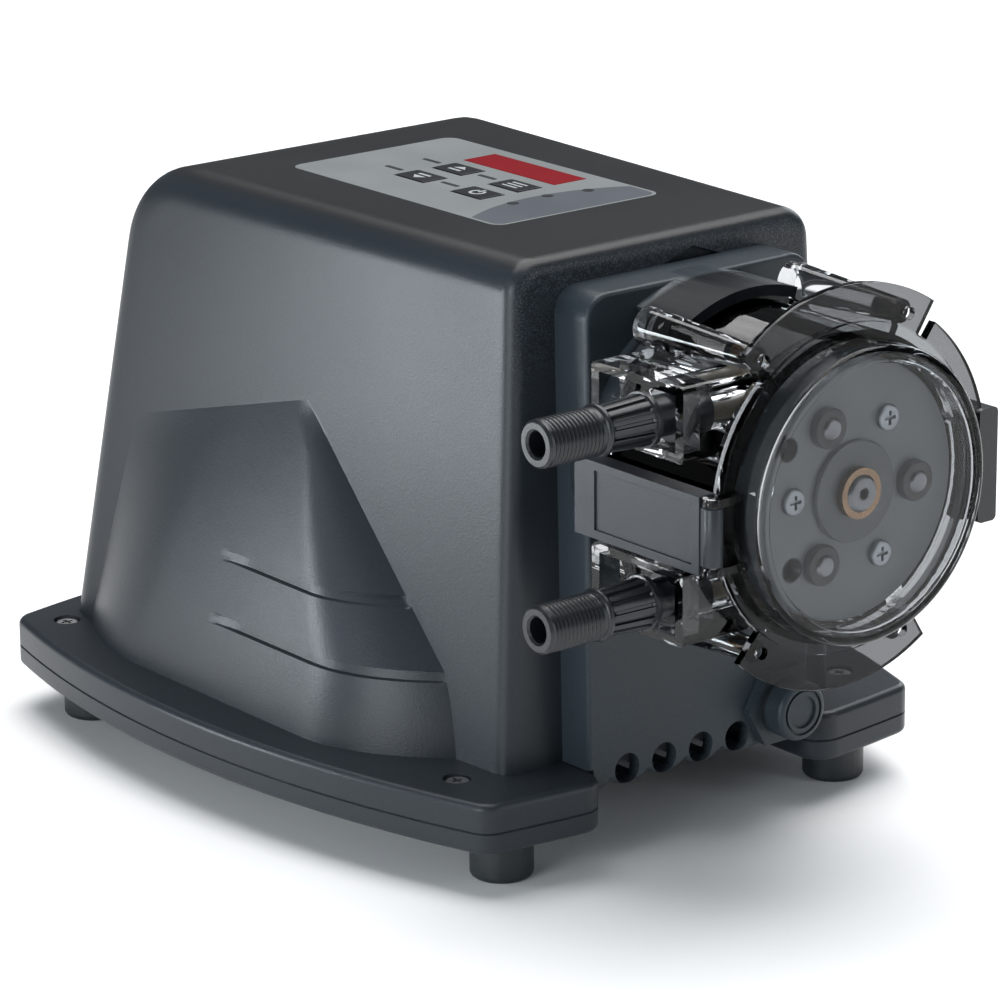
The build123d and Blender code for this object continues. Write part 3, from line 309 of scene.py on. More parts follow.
# ---- housing shape
def round_meet(first, second, radius, lean=0.0):
    """Signed distance to two faces with a rounded edge; lean is their normals' dot product."""
    u, v = first + radius, second + radius
    edge = np.sqrt(np.maximum(u * u + v * v - 2 * u * v * lean, 0) / (1 - lean * lean))
    flat = np.maximum(u, v)
    inside = (u <= 0) & (v <= 0)
    near_first = (u > 0) & (v - u * lean <= 0)
    near_second = (v > 0) & (u - v * lean <= 0)
    outside = np.where(near_first, u, np.where(near_second, v, edge))
    return np.where(inside, flat, outside) - radius


BACK_LEAN = (BACK_XS[1] - BACK_XS[0]) / (TOP_Z - FLANGE_TOP)
BACK_COS = 1 / math.hypot(1, BACK_LEAN)


def body_distance(p):
    """Signed distance to the rounded housing block."""
    x, y, z = p[..., 0], p[..., 1], p[..., 2]
    back = (back_x(z) - x) * BACK_COS
    top = z - TOP_Z
    profile = round_meet(back, top, REAR_RADIUS, BACK_LEAN * BACK_COS)
    side = np.abs(y) - half_width(x, z)
    shell = round_meet(profile, side, SIDE_RADIUS)
    return round_meet(shell, x - front_x(z), FRONT_RADIUS)


def settle(points, rounds=5):
    """Moves points onto the rounded block."""
    step = 0.01
    for _ in range(rounds):
        value = body_distance(points)
        slope = np.empty_like(points)
        for axis, shift in enumerate(np.eye(3) * step):
            change = body_distance(points + shift) - body_distance(points - shift)
            slope[..., axis] = change / (2 * step)
        size = np.maximum((slope ** 2).sum(-1), 1e-6)
        move = slope * (value / size)[..., None]
        move[..., 2] = np.where(points[..., 2] < FLANGE_TOP, 0.0, move[..., 2])
        points = points - move
    return points


def rear_arc():
    """Centre of the big rear radius, and the turn where it meets the sloped back."""
    centre_z = TOP_Z - REAR_RADIUS
    centre_x = back_x(centre_z) + REAR_RADIUS / BACK_COS
    return np.array((centre_x, centre_z)), math.pi - math.atan(BACK_LEAN)


def straight(a, b, ts):
    a, b = np.array(a, float), np.array(b, float)
    return a + (b - a) * ts[:, None]


def side_grid():
    """(x, z) grid of a side wall with lines along the creases of the arch."""
    centre, start = rear_arc()
    mid = (start + math.pi / 2) / 2
    groove_levels = []
    for low in GROOVE_ZS:
        high = low + GROOVE_HEIGHT
        groove_levels += [low - GROOVE_MARGIN, low, low + GROOVE_WALL, low + GROOVE_HEIGHT / 2]
        groove_levels += [high - GROOVE_WALL, high, high + GROOVE_MARGIN]
    levels = np.array(sorted([SEAM_Z, FLANGE_TOP, *WALL_LEVELS, *groove_levels]))
    knee = levels[-1]

    foot_x = ARCH_BASE_LEFT - ARCH_LEFT_LEAN * FLANGE_TOP
    left_z = ROOF_START[1] + ROOF_SLOPE * (foot_x - ROOF_START[0])
    left_z = left_z / (1 - ROOF_SLOPE * ARCH_LEFT_LEAN)
    crease = [(back_x(REAR_SPLIT_Z), REAR_SPLIT_Z), (float(arch_left(left_z)), left_z)]
    crease += [ARCH_PEAK, (front_x(FRONT_SPLIT_Z), FRONT_SPLIT_Z)]
    tops = [None, *((x, TOP_Z) for x in TOP_SPLIT_XS), (FRONT_XS[1], TOP_Z)]

    us = [spaced(12, 1.5, 1.0), spaced(84, 1.35, 1.35), spaced(42, 1.2, 1.6)]
    upper = spaced(16)
    roof = spaced(34, 1.2, 1.7)

    def edge_x(column, z):
        return (back_x(z), arch_left(z), arch_right(z), front_x(z))[column]

    blocks = []
    for c in range(3):
        lower = []
        for z in levels:
            a, b = float(edge_x(c, z)), float(edge_x(c + 1, z))
            lower.append(straight((a, z), (b, z), us[c]))
        lower = np.array(lower)
        z_left = lerp(knee, crease[c][1], upper)
        z_right = lerp(knee, crease[c + 1][1], upper)
        left = np.stack([edge_x(c, z_left), z_left], 1)
        right = np.stack([edge_x(c + 1, z_right), z_right], 1)
        ridge = straight(crease[c], crease[c + 1], us[c])
        middle_rows = block(left, right, lower[-1], ridge, us[c], upper)
        if c == 0:
            turn_at = centre[1] + REAR_RADIUS * math.sin(start)
            line = np.array([(back_x(z), z) for z in np.linspace(crease[0][1], turn_at, 17)])
            bend = sweep(centre, REAR_RADIUS, start, mid, 12)[1:]
            left = resample(np.vstack([line, bend]), roof)
            rise = sweep(centre, REAR_RADIUS, mid, math.pi / 2, 12)
            top = resample(np.vstack([rise, [tops[1]]]), us[0])
        else:
            left = straight(crease[c], tops[c], roof)
            top = straight(tops[c], tops[c + 1], us[c])
        right = straight(crease[c + 1], tops[c + 1], roof)
        upper_rows = block(left, right, middle_rows[-1], top, us[c], roof)
        column = np.vstack([lower, middle_rows[1:], upper_rows[1:]])
        blocks.append(column if c == 0 else column[:, 1:])
    return np.hstack(blocks)


def block(left, right, bottom, top, us, vs):
    """Grid between four edges whose points are already spaced by us and vs."""
    u = us[None, :, None]
    v = vs[:, None, None]
    ruled_v = bottom[None] * (1 - v) + top[None] * v
    ruled_u = left[:, None] * (1 - u) + right[:, None] * u
    low = bottom[0] * (1 - u) + bottom[-1] * u
    high = top[0] * (1 - u) + top[-1] * u
    return ruled_v + ruled_u - (low * (1 - v) + high * v)


def resample(path, ts):
    """Points at shares ts of a path's length."""
    lengths = np.r_[0, np.cumsum(np.hypot(*np.diff(path, axis=0).T))]
    at = ts * lengths[-1]
    return np.stack([np.interp(at, lengths, path[:, k]) for k in range(2)], 1)


def wall_points(grid, side):
    """The side wall in space: rounded at its rim, with the arch pushed out."""
    x, z = grid[..., 0], grid[..., 1]
    flat = np.stack([x, side * half_width(x, z), z], -1)
    points = settle(flat)
    depth = np.maximum(arch_depth(x, z) - groove(x, z), 0.0)
    points[..., 1] += side * depth
    return points


def housing_block():
    """Outer skin of the housing: two side walls, the back and top strip, and the front."""
    grid = side_grid()
    made = Patches()
    for side in (-1, 1):
        made.add(wall_points(grid, side))
    rim = RIM_SHARE * spaced(9, 1.6)
    flat = np.linspace(RIM_SHARE - 1, 1 - RIM_SHARE, 27)
    across = np.unique(np.r_[-1 + rim, flat, 1 - rim])
    strip = np.vstack([grid[:, 0], grid[-1, 1:]])
    front = grid[:, -1]
    for edge in (strip, front):
        x, z = edge[:, 0], edge[:, 1]
        half = half_width(x, z)
        shape = (len(edge), len(across))
        sheet = np.stack([np.broadcast_to(v[:, None], shape) for v in (x, half, z)], -1)
        sheet[..., 1] *= across[None]
        made.add(settle(sheet))
    return made.build("housing_body")


def arc_circle(a, b, c):
    """Centre and radius of the circle through three points."""
    (ax, ay), (bx, by), (cx, cy) = a, b, c
    d = 2 * (ax * (by - cy) + bx * (cy - ay) + cx * (ay - by))
    a2, b2, c2 = ax * ax + ay * ay, bx * bx + by * by, cx * cx + cy * cy
    x = (a2 * (by - cy) + b2 * (cy - ay) + c2 * (ay - by)) / d
    y = (a2 * (cx - bx) + b2 * (ax - cx) + c2 * (bx - ax)) / d
    return np.array((x, y)), math.hypot(ax - x, ay - y)


def circles_meet(first, second, near):
    """The crossing of two circles that lies nearer to a point."""
    (c0, r0), (c1, r1) = first, second
    apart = np.linalg.norm(c1 - c0)
    along = (r0 * r0 - r1 * r1 + apart * apart) / (2 * apart)
    rise = math.sqrt(max(r0 * r0 - along * along, 0.0))
    line = (c1 - c0) / apart
    normal = np.array((-line[1], line[0]))
    options = [c0 + along * line + side * rise * normal for side in (-1, 1)]
    return min(options, key=lambda p: np.linalg.norm(p - np.array(near)))


def sweep(centre, radius, start, end, steps):
    """Points along an arc between two turns."""
    turns = np.linspace(start, end, steps)
    return [centre + radius * np.array((math.cos(t), math.sin(t))) for t in turns]


def turn_to(point, centre):
    """Turn at which a point is seen from a centre."""
    return math.atan2(point[1] - centre[1], point[0] - centre[0])


def bay_outline(centre, size, start, end, inset, bay_x):
    """Front of the base: near lug, the bay between the lugs, and far lug."""
    corner_y = BAY_HALF + LUG_CORNER
    corner_x = centre[0] + math.sqrt((size - LUG_CORNER) ** 2 - corner_y ** 2)
    meet = turn_to((corner_x, corner_y), centre)
    radius = LUG_CORNER - inset
    outline = sweep(centre, size - inset, start, -meet, 14)
    outline += sweep(np.array((corner_x, -corner_y)), radius, -meet, math.pi / 2, 16)[1:]
    outline += [np.array((bay_x - inset, side * (BAY_HALF + inset))) for side in (-1, 1)]
    outline += sweep(np.array((corner_x, corner_y)), radius, -math.pi / 2, meet, 16)[:-1]
    return outline + sweep(centre, size - inset, meet, end, 14)


def flange_outline(inset, bay_x):
    """Barrel-shaped plan of the base: bowed sides with rounded corners, counter-clockwise."""
    (fx, fy), (bx, by) = FLANGE_CORNERS
    front = arc_circle((fx, -fy), (fx + FLANGE_FRONT_BOW, 0), (fx, fy))
    far = arc_circle((fx, fy), FLANGE_CROWN, (bx, by))
    back = arc_circle((bx, by), (-HALF_LENGTH, 0), (bx, -by))
    near = arc_circle((bx, -by), (FLANGE_CROWN[0], -FLANGE_CROWN[1]), (fx, -fy))
    sides = [(front, (fx, fy)), (far, (bx, by)), (back, (bx, -by)), (near, (fx, -fy))]
    radius = FLANGE_CORNER_RADIUS
    bends = []
    for i, (circle_here, corner) in enumerate(sides):
        following = sides[(i + 1) % 4][0]
        inner = [(c, r - radius) for c, r in (circle_here, following)]
        bends.append(circles_meet(inner[0], inner[1], corner))
    outline = []
    for i, ((centre, size), _) in enumerate(sides):
        start, end = turn_to(bends[i - 1], centre), turn_to(bends[i], centre)
        if end < start:
            end += 2 * math.pi
        if i == 0:
            outline += bay_outline(centre, size, start, end, inset, bay_x)
        else:
            outline += sweep(centre, size - inset, start, end, 60)
        following = sides[(i + 1) % 4][0][0]
        start, end = turn_to(bends[i], centre), turn_to(bends[i], following)
        if end < start:
            end += 2 * math.pi
        outline += sweep(bends[i], radius - inset, start, end, 12)[1:-1]
    return np.array(outline)


def slab(name, levels, bay_x):
    """Solid with the flange's plan; levels are (height, inset) pairs from bottom to top."""
    rings = []
    for z, inset in levels:
        plan = flange_outline(inset, bay_x)
        rings.append(np.column_stack([plan, np.full(len(plan), z)]))
    return loft(name, rings)


def rounding(z, radius, up, steps=6):
    """Levels of a rounded rim that ends at height z."""
    levels = []
    for i in range(steps + 1):
        turn = math.pi / 2 * i / steps
        drop = radius * (1 - math.sin(turn))
        levels.append((z - drop if up else z + drop, radius * (1 - math.cos(turn))))
    return levels if up else levels[::-1]


def key_wells():
    for name in KEY_NAMES:
        (x0, y0), (x1, y1) = (c[:2] for c in corners(name))
        yield rectangle(x0 - KEY_GAP, x1 + KEY_GAP, y0 - KEY_GAP, y1 + KEY_GAP, KEY_CORNER)


def gathered(name, parts):
    """One object from separate solids."""
    edit = bmesh.new()
    for part in parts:
        edit.from_mesh(part.data)
        bpy.data.objects.remove(part)
    mesh = bpy.data.meshes.new(name)
    edit.to_mesh(mesh)
    edit.free()
    return link(name, mesh)


def mark_creases(mesh):
    """Keeps the arches' roof and rear creases crisp, though they turn by little."""
    points = np.array([v.co for v in mesh.vertices]) / MM
    x, y, z = points.T
    outside = (np.abs(y) > half_width(x, z) - 0.5) & (z > FLANGE_TOP + 0.5)
    near, slack = 0.08, 0.1
    roof = outside & (np.abs(z - arch_top(x)) < near)
    roof &= (x > arch_left(z) - slack) & (x < ARCH_PEAK[0] + slack)
    rear = outside & (np.abs(x - arch_left(z)) < near) & (z < arch_top(x) + slack)
    for edge in mesh.edges:
        a, b = edge.vertices
        if (roof[a] and roof[b]) or (rear[a] and rear[b]):
            edge.use_edge_sharp = True


def housing_body():
    """Moulded housing with arches, flange, hollow inside and the wells of the keypad."""
    body = housing_block()
    levels = [(SEAM_Z, SEAM_CHAMFER), (SEAM_Z + SEAM_CHAMFER, 0.0)]
    levels += rounding(FLANGE_TOP, FLANGE_RIM_RADIUS, True)
    boolean(body, slab("rim", levels, BAY_X), "UNION")
    boolean(body, hollow(), "DIFFERENCE")
    wells = [prism("well", outline, TOP_Z - KEY_WELL_DEPTH, TOP_Z + 1) for outline in key_wells()]
    window_low, window_high = corners("display_window")
    window = rectangle(window_low[0], window_high[0], window_low[1], window_high[1])
    wells.append(prism("well", window, TOP_Z - WINDOW_WELL_DEPTH, TOP_Z + 1))
    boolean(body, gathered("cutter", wells), "DIFFERENCE")
    label_xs, label_ys = (LABEL_LOW[0], LABEL_HIGH[0]), (LABEL_LOW[1], LABEL_HIGH[1])
    pocket = rectangle(*label_xs, *label_ys, LABEL_CORNER, 8)
    boolean(body, prism("pocket", pocket, LABEL_LOW[2], TOP_Z + 1), "DIFFERENCE")
    bores = []
    for x, y in screw_places():
        outline = circle(x, y, BORE_RADIUS)
        bores.append(prism("bore", outline, FLANGE_TOP - BORE_DEPTH, FLANGE_TOP + 1))
    boolean(body, gathered("cutter", bores), "DIFFERENCE")
    boolean(body, vent_cutter(), "DIFFERENCE")
    smooth(body, 34.0)
    mark_creases(body.data)
    return body


def screw_places():
    """The four screws sit in pairs near the front and the rear of the flange."""
    low, high = corners("flange_screws")
    front, rear, rear_y = high[0] - SCREW_HEAD, low[0] + SCREW_HEAD, high[1] - SCREW_HEAD
    return [(front, -FRONT_SCREW_Y), (front, FRONT_SCREW_Y), (rear, -rear_y), (rear, rear_y)]


def hollow():
    """Inside of the housing, with the big radius at the rear."""
    centre, start = rear_arc()
    profile = [(front_x(z) - WALL, z) for z in (SEAM_Z - 1, TOP_Z - WALL)]
    profile += sweep(centre, REAR_RADIUS - WALL, math.pi / 2, start, 9)
    profile.append((back_x(SEAM_Z - 1) + WALL, SEAM_Z - 1))
    made = Patches()
    sides = []
    for side in (-1, 1):
        ring = np.array([(x, side * (half_width(x, z) - WALL), z) for x, z in profile])
        sides.append(ring)
        made.cap(ring)
    made.add(np.array(sides), wrap=True)
    return made.build("hollow")


def vent_cutter():
    """Shallow recess high on the front wall."""
    depths = (FRONT_XS[1] - VENT_DEPTH, FRONT_XS[1] + 5)
    return loft("vent", [np.array([(x, y, z) for y, z in VENT_OUTLINE]) for x in depths])


def base_tray():
    """Base plate under the seam."""
    levels = rounding(BASE_Z, TRAY_RIM_RADIUS, False)
    levels += [(SEAM_Z - SEAM_CHAMFER, 0.0), (SEAM_Z, SEAM_CHAMFER)]
    tray = slab("base_tray", levels, BASE_BAY_X)
    inner = WALL + TRAY_FLOOR
    half = FRONT_HALVES[0] - inner
    well = rectangle(back_x(SEAM_Z) + inner, TRAY_FRONT_X, -half, half)
    boolean(tray, prism("well", well, BASE_Z + TRAY_FLOOR, SEAM_Z + 1), "DIFFERENCE")
    return smooth(tray)


# ---- threaded fittings
THREAD_RADIUS = 6.35
THREAD_PITCH = 1.27
THREAD_DEPTH = 0.42
CREST_RISE = 0.28 * THREAD_DEPTH  # crests above the plain rod
THREAD_END = 18.6  # distances from the tip
LIP_END = 20.6
COLLAR_END = 34.0
COLLAR_RADIUS = 6.1
SHOULDER_RADIUS = 7.35
RIBS = 14
RIB_HEIGHT = 0.85
# (distance, radius) behind the shoulder and, after the far end, back along the bore
PORT_NECK = ((35.6, 7.15), (35.7, 5.5), (38.6, 5.4), (42.9, 5.4), (43.0, 7.3), (45.0, 7.4))
PORT_NECK += ((45.0, 5.0), (51.9, 5.0), (52.0, 2.4))
PORT_BORE = ((41.0, 1.5), (41.0, 3.4), (0.6, 3.4), (0.0, 4.0))
SPIGOT_RADII = (2.4, 1.5)


def fitting_radius(y, turn):
    """Outer radius of a fitting, y millimetres behind its tip, at an angle about its axis."""
    if y < THREAD_END:
        phase = (y / THREAD_PITCH + turn / (2 * math.pi)) % 1.0
        tooth = min(abs(phase - 0.5) * 2.6, 1.0)
        entry = min(max(y - 0.9, 0.0) / 1.2, 1.0) * min(max(THREAD_END - 1.0 - y, 0.0), 1.0)
        plain = THREAD_RADIUS - CREST_RISE - max(0.7 - y, 0.0) * 0.9
        return plain + entry * (CREST_RISE - THREAD_DEPTH * (1 - tooth))
    if y < LIP_END:
        across = (y - THREAD_END) / (LIP_END - THREAD_END)
        return THREAD_RADIUS + 0.65 * math.sin(math.pi * min(across * 1.15, 1.0)) ** 0.5
    if y < COLLAR_END:
        along = (y - LIP_END) / (COLLAR_END - LIP_END)
        rise = COLLAR_RADIUS + 0.75 * along
        wave = abs(((turn * RIBS / (2 * math.pi)) % 1.0) - 0.5) * 2
        rib = min(max((wave - 0.28) / 0.16, 0.0), 1.0)
        ends = min(along / 0.06, (1 - along) / 0.04, 1.0)
        return rise - RIB_HEIGHT * (1 - rib) * max(ends, 0.0)
    return SHOULDER_RADIUS


def port_fitting(node):
    """Threaded port: screw thread, lip, ribbed collar, neck and the flange in the socket."""
    low, high = corners(node)
    x, _, z = (low + high) / 2
    tip = low[1]
    turns = np.linspace(0, 2 * math.pi, RIBS * 14, endpoint=False)
    stations = [*np.arange(0.0, THREAD_END, THREAD_PITCH / 9), *np.linspace(THREAD_END, LIP_END, 9)]
    stations += [*np.linspace(20.75, 33.9, 30), COLLAR_END, 35.3, 35.5]

    def ring(y, radii):
        places = zip(radii, turns)
        return [(x + r * math.cos(t), tip + y, z + r * math.sin(t)) for r, t in places]

    rings = [ring(y, [fitting_radius(y, t) for t in turns]) for y in stations]
    spigot = [(high[1] - tip, r) for r in SPIGOT_RADII]
    for y, r in (*PORT_NECK, *spigot, *PORT_BORE):
        rings.append(ring(y, [r] * len(turns)))
    rings.append(rings[0])
    made = Patches()
    made.add(np.array(rings), wrap=True)
    obj = made.build(node.replace("_fitting", "_port"))
    return smooth(obj, 38.0)


# ---- roller plate
PLATE_EDGE = 34.8  # 2.8 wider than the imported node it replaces
PLATE_BACK_X = 131.2
PLATE_X = 135.0
HUB_RADIUS = 13.6
HUB_X = 136.6
SEAT_RADIUS = 5.4
SEAT_X = 137.4
PIN_BORE = 3.02
SHAFT_BORE = 5.02
PIN_ORBIT = 21.0
PIN_ANGLES = (117.0, -3.0, -123.0)
HOLE_ORBIT = 27.0
HOLE_ANGLES = (146.0, -140.0)
HOLE_RADIUS = 3.1


def around(orbit, angle):
    """(y, z) of a point on a circle about the head's axis."""
    turn = math.radians(angle)
    return orbit * math.cos(turn), AXIS_Z + orbit * math.sin(turn)


def rod(radius, x0, x1, y=0.0, z=AXIS_Z, bevel=0.0, steps=48, name="rod"):
    """Round bar along X with a rounded outer end."""
    profile = [(x0, radius)]
    for i in range(4):
        turn = math.pi / 2 * i / 3
        profile.append((x1 - bevel * (1 - math.sin(turn)), radius - bevel * (1 - math.cos(turn))))
    turns = np.linspace(0, 2 * math.pi, steps, endpoint=False)
    rings = []
    for x, r in profile:
        rings.append(np.array([(x, y + r * math.cos(t), z + r * math.sin(t)) for t in turns]))
    return loft(name, rings)


def roller_plate():
    """Front disc of the roller head: raised hub, seats round the pins and two drilled holes."""
    plate = rod(PLATE_EDGE, PLATE_BACK_X, PLATE_X, bevel=0.8, steps=128, name="roller_disc")
    boolean(plate, rod(HUB_RADIUS, PLATE_X - 1, HUB_X, bevel=0.5, steps=96), "UNION")
    for angle in PIN_ANGLES:
        seat = rod(SEAT_RADIUS, PLATE_X - 1, SEAT_X, *around(PIN_ORBIT, angle), bevel=0.5)
        boolean(plate, seat, "UNION")
    back = PLATE_BACK_X - 1
    bores = [rod(SHAFT_BORE, back, SEAT_X + 1)]
    bores += [rod(PIN_BORE, back, SEAT_X + 1, *around(PIN_ORBIT, a)) for a in PIN_ANGLES]
    bores += [rod(HOLE_RADIUS, back, SEAT_X, *around(HOLE_ORBIT, a)) for a in HOLE_ANGLES]
    boolean(plate, gathered("cutter", bores), "DIFFERENCE")
    return smooth(plate, 30.0)


# ---- materials
def nodes_of(name):
    material = bpy.data.materials.new(name)
    material.use_nodes = True
    tree = material.node_tree
    return material, tree, tree.nodes["Principled BSDF"]


def noise(tree, scale, detail=2.0, rough=0.5):
    place = tree.nodes.get("place") or tree.nodes.new("ShaderNodeTexCoord")
    place.name = "place"
    texture = tree.nodes.new("ShaderNodeTexNoise")
    texture.inputs["Scale"].default_value = scale
    texture.inputs["Detail"].default_value = detail
    texture.inputs["Roughness"].default_value = rough
    tree.links.new(place.outputs["Object"], texture.inputs["Vector"])
    return texture.outputs["Fac"]


def mapped(tree, value, low, high, start=0.3, end=0.7):
    span = tree.nodes.new("ShaderNodeMapRange")
    span.inputs["From Min"].default_value = start
    span.inputs["From Max"].default_value = end
    span.inputs["To Min"].default_value = low
    span.inputs["To Max"].default_value = high
    tree.links.new(value, span.inputs["Value"])
    return span.outputs["Result"]


def blend_colours(tree, value, first, second):
    mix = tree.nodes.new("ShaderNodeMix")
    mix.data_type = "RGBA"
    tree.links.new(value, mix.inputs["Factor"])
    for socket, colour in ((6, first), (7, second)):
        if isinstance(colour, tuple):
            mix.inputs[socket].default_value = (*colour, 1.0)
        else:
            tree.links.new(colour, mix.inputs[socket])
    return mix.outputs[2]


def maths(tree, operation, first, second):
    node = tree.nodes.new("ShaderNodeMath")
    node.operation = operation
    tree.links.new(first, node.inputs[0])
    tree.links.new(second, node.inputs[1])
    return node.outputs[0]


def bump(tree, shader, layers):
    """Stacked bump layers: (height, strength, distance in metres)."""
    normal = None
    for height, strength, distance in layers:
        node = tree.nodes.new("ShaderNodeBump")
        node.inputs["Strength"].default_value = strength
        node.inputs["Distance"].default_value = distance
        tree.links.new(height, node.inputs["Height"])
        if normal is not None:
            tree.links.new(normal, node.inputs["Normal"])
        normal = node.outputs["Normal"]
    tree.links.new(normal, shader.inputs["Normal"])


def scaled(colour, factor):
    return tuple(min(c * factor, 1.0) for c in colour)


def drifting(tree, colour, cloud, low, high):
    """Colour that wanders between two factors."""
    dark, pale = scaled(colour, low), scaled(colour, high)
    return blend_colours(tree, mapped(tree, cloud, 0.0, 1.0), dark, pale)


def pitted(tree, colour, fine, dark, shade):
    """Shade with darker pits in its grain."""
    pits = mapped(tree, fine, 0.0, 1.0, 0.3, 0.6)
    return blend_colours(tree, pits, scaled(colour, dark), shade)


def position(tree):
    """Coordinates on the object, in metres; the tree already holds a noise."""
    split = tree.nodes.get("split") or tree.nodes.new("ShaderNodeSeparateXYZ")
    split.name = "split"
    tree.links.new(tree.nodes["place"].outputs["Object"], split.inputs[0])
    return split.outputs


def beyond(tree, value, start, end):
    """Mask that rises from 0 to 1 between two lengths in millimetres."""
    return mapped(tree, value, 0.0, 1.0, start * MM, end * MM)


def within(tree, value, start, end):
    """Mask that falls from 1 to 0 between two lengths in millimetres."""
    return mapped(tree, value, 1.0, 0.0, start * MM, end * MM)


def coat_with(tree, shader, shade, roughness):
    tree.links.new(shade, shader.inputs["Base Color"])
    tree.links.new(roughness, shader.inputs["Roughness"])


def moulded(name, colour, rough, grain=1700.0, depth=0.35, specular=0.5):
    """Injection-moulded plastic with a spark-eroded grain."""
    material, tree, shader = nodes_of(name)
    cloud = noise(tree, 22.0, 3.0)
    fine = noise(tree, grain, 2.0, 0.6)
    shade = pitted(tree, colour, fine, 0.86, drifting(tree, colour, cloud, 0.86, 1.14))
    coat_with(tree, shader, shade, mapped(tree, cloud, rough - 0.05, rough + 0.06))
    shader.inputs["Specular IOR Level"].default_value = specular
    bump(tree, shader, [(fine, depth, 0.0002), (noise(tree, 260.0), 0.12, 0.0002)])
    return material


GRAIN_AND_LIGHT_ZS = (118.0, 155.0)  # heights over which the front wall's grain and its painted glints and painted light come in
HOOD_XS = (77.5, 79.5)  # where the panel's hood starts, along and up
HOOD_ZS = (136.0, 140.0)


def housing_plastic():
    """Slate plastic: satin sides, a top painted near-black as painted shade, and high on the front
    wall a grain with bright painted glints that fade in with height as painted light.
    """
    colour = (0.019, 0.024, 0.030)
    material, tree, shader = nodes_of("slate_housing")
    cloud = noise(tree, 16.0, 3.0)
    fine = noise(tree, 1900.0, 2.0, 0.6)
    spark = noise(tree, 2300.0, 1.0, 0.6)
    height = position(tree)["Z"]
    ahead = beyond(tree, position(tree)["X"], FRONT_XS[1] - 2.0, FRONT_XS[1] - 0.3)
    # Painted light: near the front wall the grain gets bright painted glints that fade in towards
    # the top, where the light falls.
    front = maths(tree, "MULTIPLY", ahead, beyond(tree, height, *GRAIN_AND_LIGHT_ZS))
    # Painted shade: the top strip of the housing is painted near-black.
    high = beyond(tree, height, TOP_Z - 3.0, TOP_Z - 0.5)
    side = pitted(tree, colour, fine, 0.8, drifting(tree, colour, cloud, 0.92, 1.08))
    # Grain with painted glints: specks up to 2.4 times the slate colour.
    grain_glints = mapped(tree, spark, 0.0, 1.0, 0.46, 0.66)
    grain = blend_colours(tree, grain_glints, scaled(colour, 0.6), scaled(colour, 2.4))
    wall = blend_colours(tree, front, side, grain)
    shade = blend_colours(tree, high, wall, (0.0105, 0.011, 0.0115))
    coat_with(tree, shader, shade, mapped(tree, cloud, 0.31, 0.37))
    shader.inputs["Specular IOR Level"].default_value = 0.3
    bump(tree, shader, [(fine, 0.3, 0.0002), (noise(tree, 300.0), 0.1, 0.0002)])
    return material


def panel_plastic():
    """Slate front panel with a satin grain; its hood is darker and smoother."""
    colour = (0.025, 0.034, 0.042)
    material, tree, shader = nodes_of("slate_panel")
    cloud = noise(tree, 22.0, 3.0)
    fine = noise(tree, 1700.0, 2.0, 0.6)
    shade = pitted(tree, colour, fine, 0.82, drifting(tree, colour, cloud, 0.88, 1.12))
    proud = beyond(tree, position(tree)["X"], *HOOD_XS)
    hood = maths(tree, "MULTIPLY", proud, beyond(tree, position(tree)["Z"], *HOOD_ZS))
    shade = blend_colours(tree, hood, shade, (0.006, 0.007, 0.009))
    coat_with(tree, shader, shade, mapped(tree, cloud, 0.36, 0.44))
    tree.links.new(mapped(tree, hood, 0.3, 0.08, 0.0, 1.0), shader.inputs["Specular IOR Level"])
    bump(tree, shader, [(fine, 0.3, 0.0002), (noise(tree, 260.0), 0.1, 0.0002)])
    return material


def metal(name, colour, rough, brushed=(1.0, 1.0, 1.0), strength=0.1):
    """Bare metal with fine machining marks along the stretched axis."""
    material, tree, shader = nodes_of(name)
    cloud = noise(tree, 140.0)
    stretch = tree.nodes.new("ShaderNodeMapping")
    stretch.inputs["Scale"].default_value = brushed
    tree.links.new(tree.nodes["place"].outputs["Object"], stretch.inputs["Vector"])
    marks = tree.nodes.new("ShaderNodeTexNoise")
    marks.inputs["Scale"].default_value = 2600.0
    marks.inputs["Detail"].default_value = 3.0
    tree.links.new(stretch.outputs["Vector"], marks.inputs["Vector"])
    roughness = mapped(tree, marks.outputs["Fac"], rough - 0.06, rough + 0.1)
    coat_with(tree, shader, drifting(tree, colour, cloud, 0.82, 1.08), roughness)
    shader.inputs["Metallic"].default_value = 1.0
    bump(tree, shader, [(marks.outputs["Fac"], strength, 0.0001)])
    return material


def axis_distance(tree, y, z):
    """Distance in metres from a line along X through (y, z) millimetres."""
    flat = tree.nodes.get("flat") or tree.nodes.new("ShaderNodeCombineXYZ")
    flat.name = "flat"
    for axis in "YZ":
        tree.links.new(position(tree)[axis], flat.inputs[axis])
    span = tree.nodes.new("ShaderNodeVectorMath")
    span.operation = "DISTANCE"
    tree.links.new(flat.outputs[0], span.inputs[0])
    span.inputs[1].default_value = (0.0, y * MM, z * MM)
    return span.outputs["Value"]


def nearest(tree, values):
    """Least of several distances."""
    first = values[0]
    for value in values[1:]:
        first = maths(tree, "MINIMUM", first, value)
    return first


def clear_plastic(name, tint, zones, mirror):
    """Polished, smoked polycarbonate with faint flow marks; zones are (radius, tint) beyond it."""
    material, tree, shader = nodes_of(name)
    flow = noise(tree, 60.0)
    shade = drifting(tree, tint, flow, 0.96, 1.0)
    distance = axis_distance(tree, 0.0, AXIS_Z)
    for radius, zone_tint in zones:
        away = beyond(tree, distance, radius - 0.4, radius + 0.4)
        shade = blend_colours(tree, away, shade, zone_tint)
    tree.links.new(shade, shader.inputs["Base Color"])
    shader.inputs["Transmission Weight"].default_value = 1.0
    shader.inputs["IOR"].default_value = 1.42
    shader.inputs["Specular Tint"].default_value = (mirror, mirror, mirror, 1.0)
    shader.inputs["Roughness"].default_value = 0.0
    bump(tree, shader, [(flow, 0.04, 0.001)])
    return material


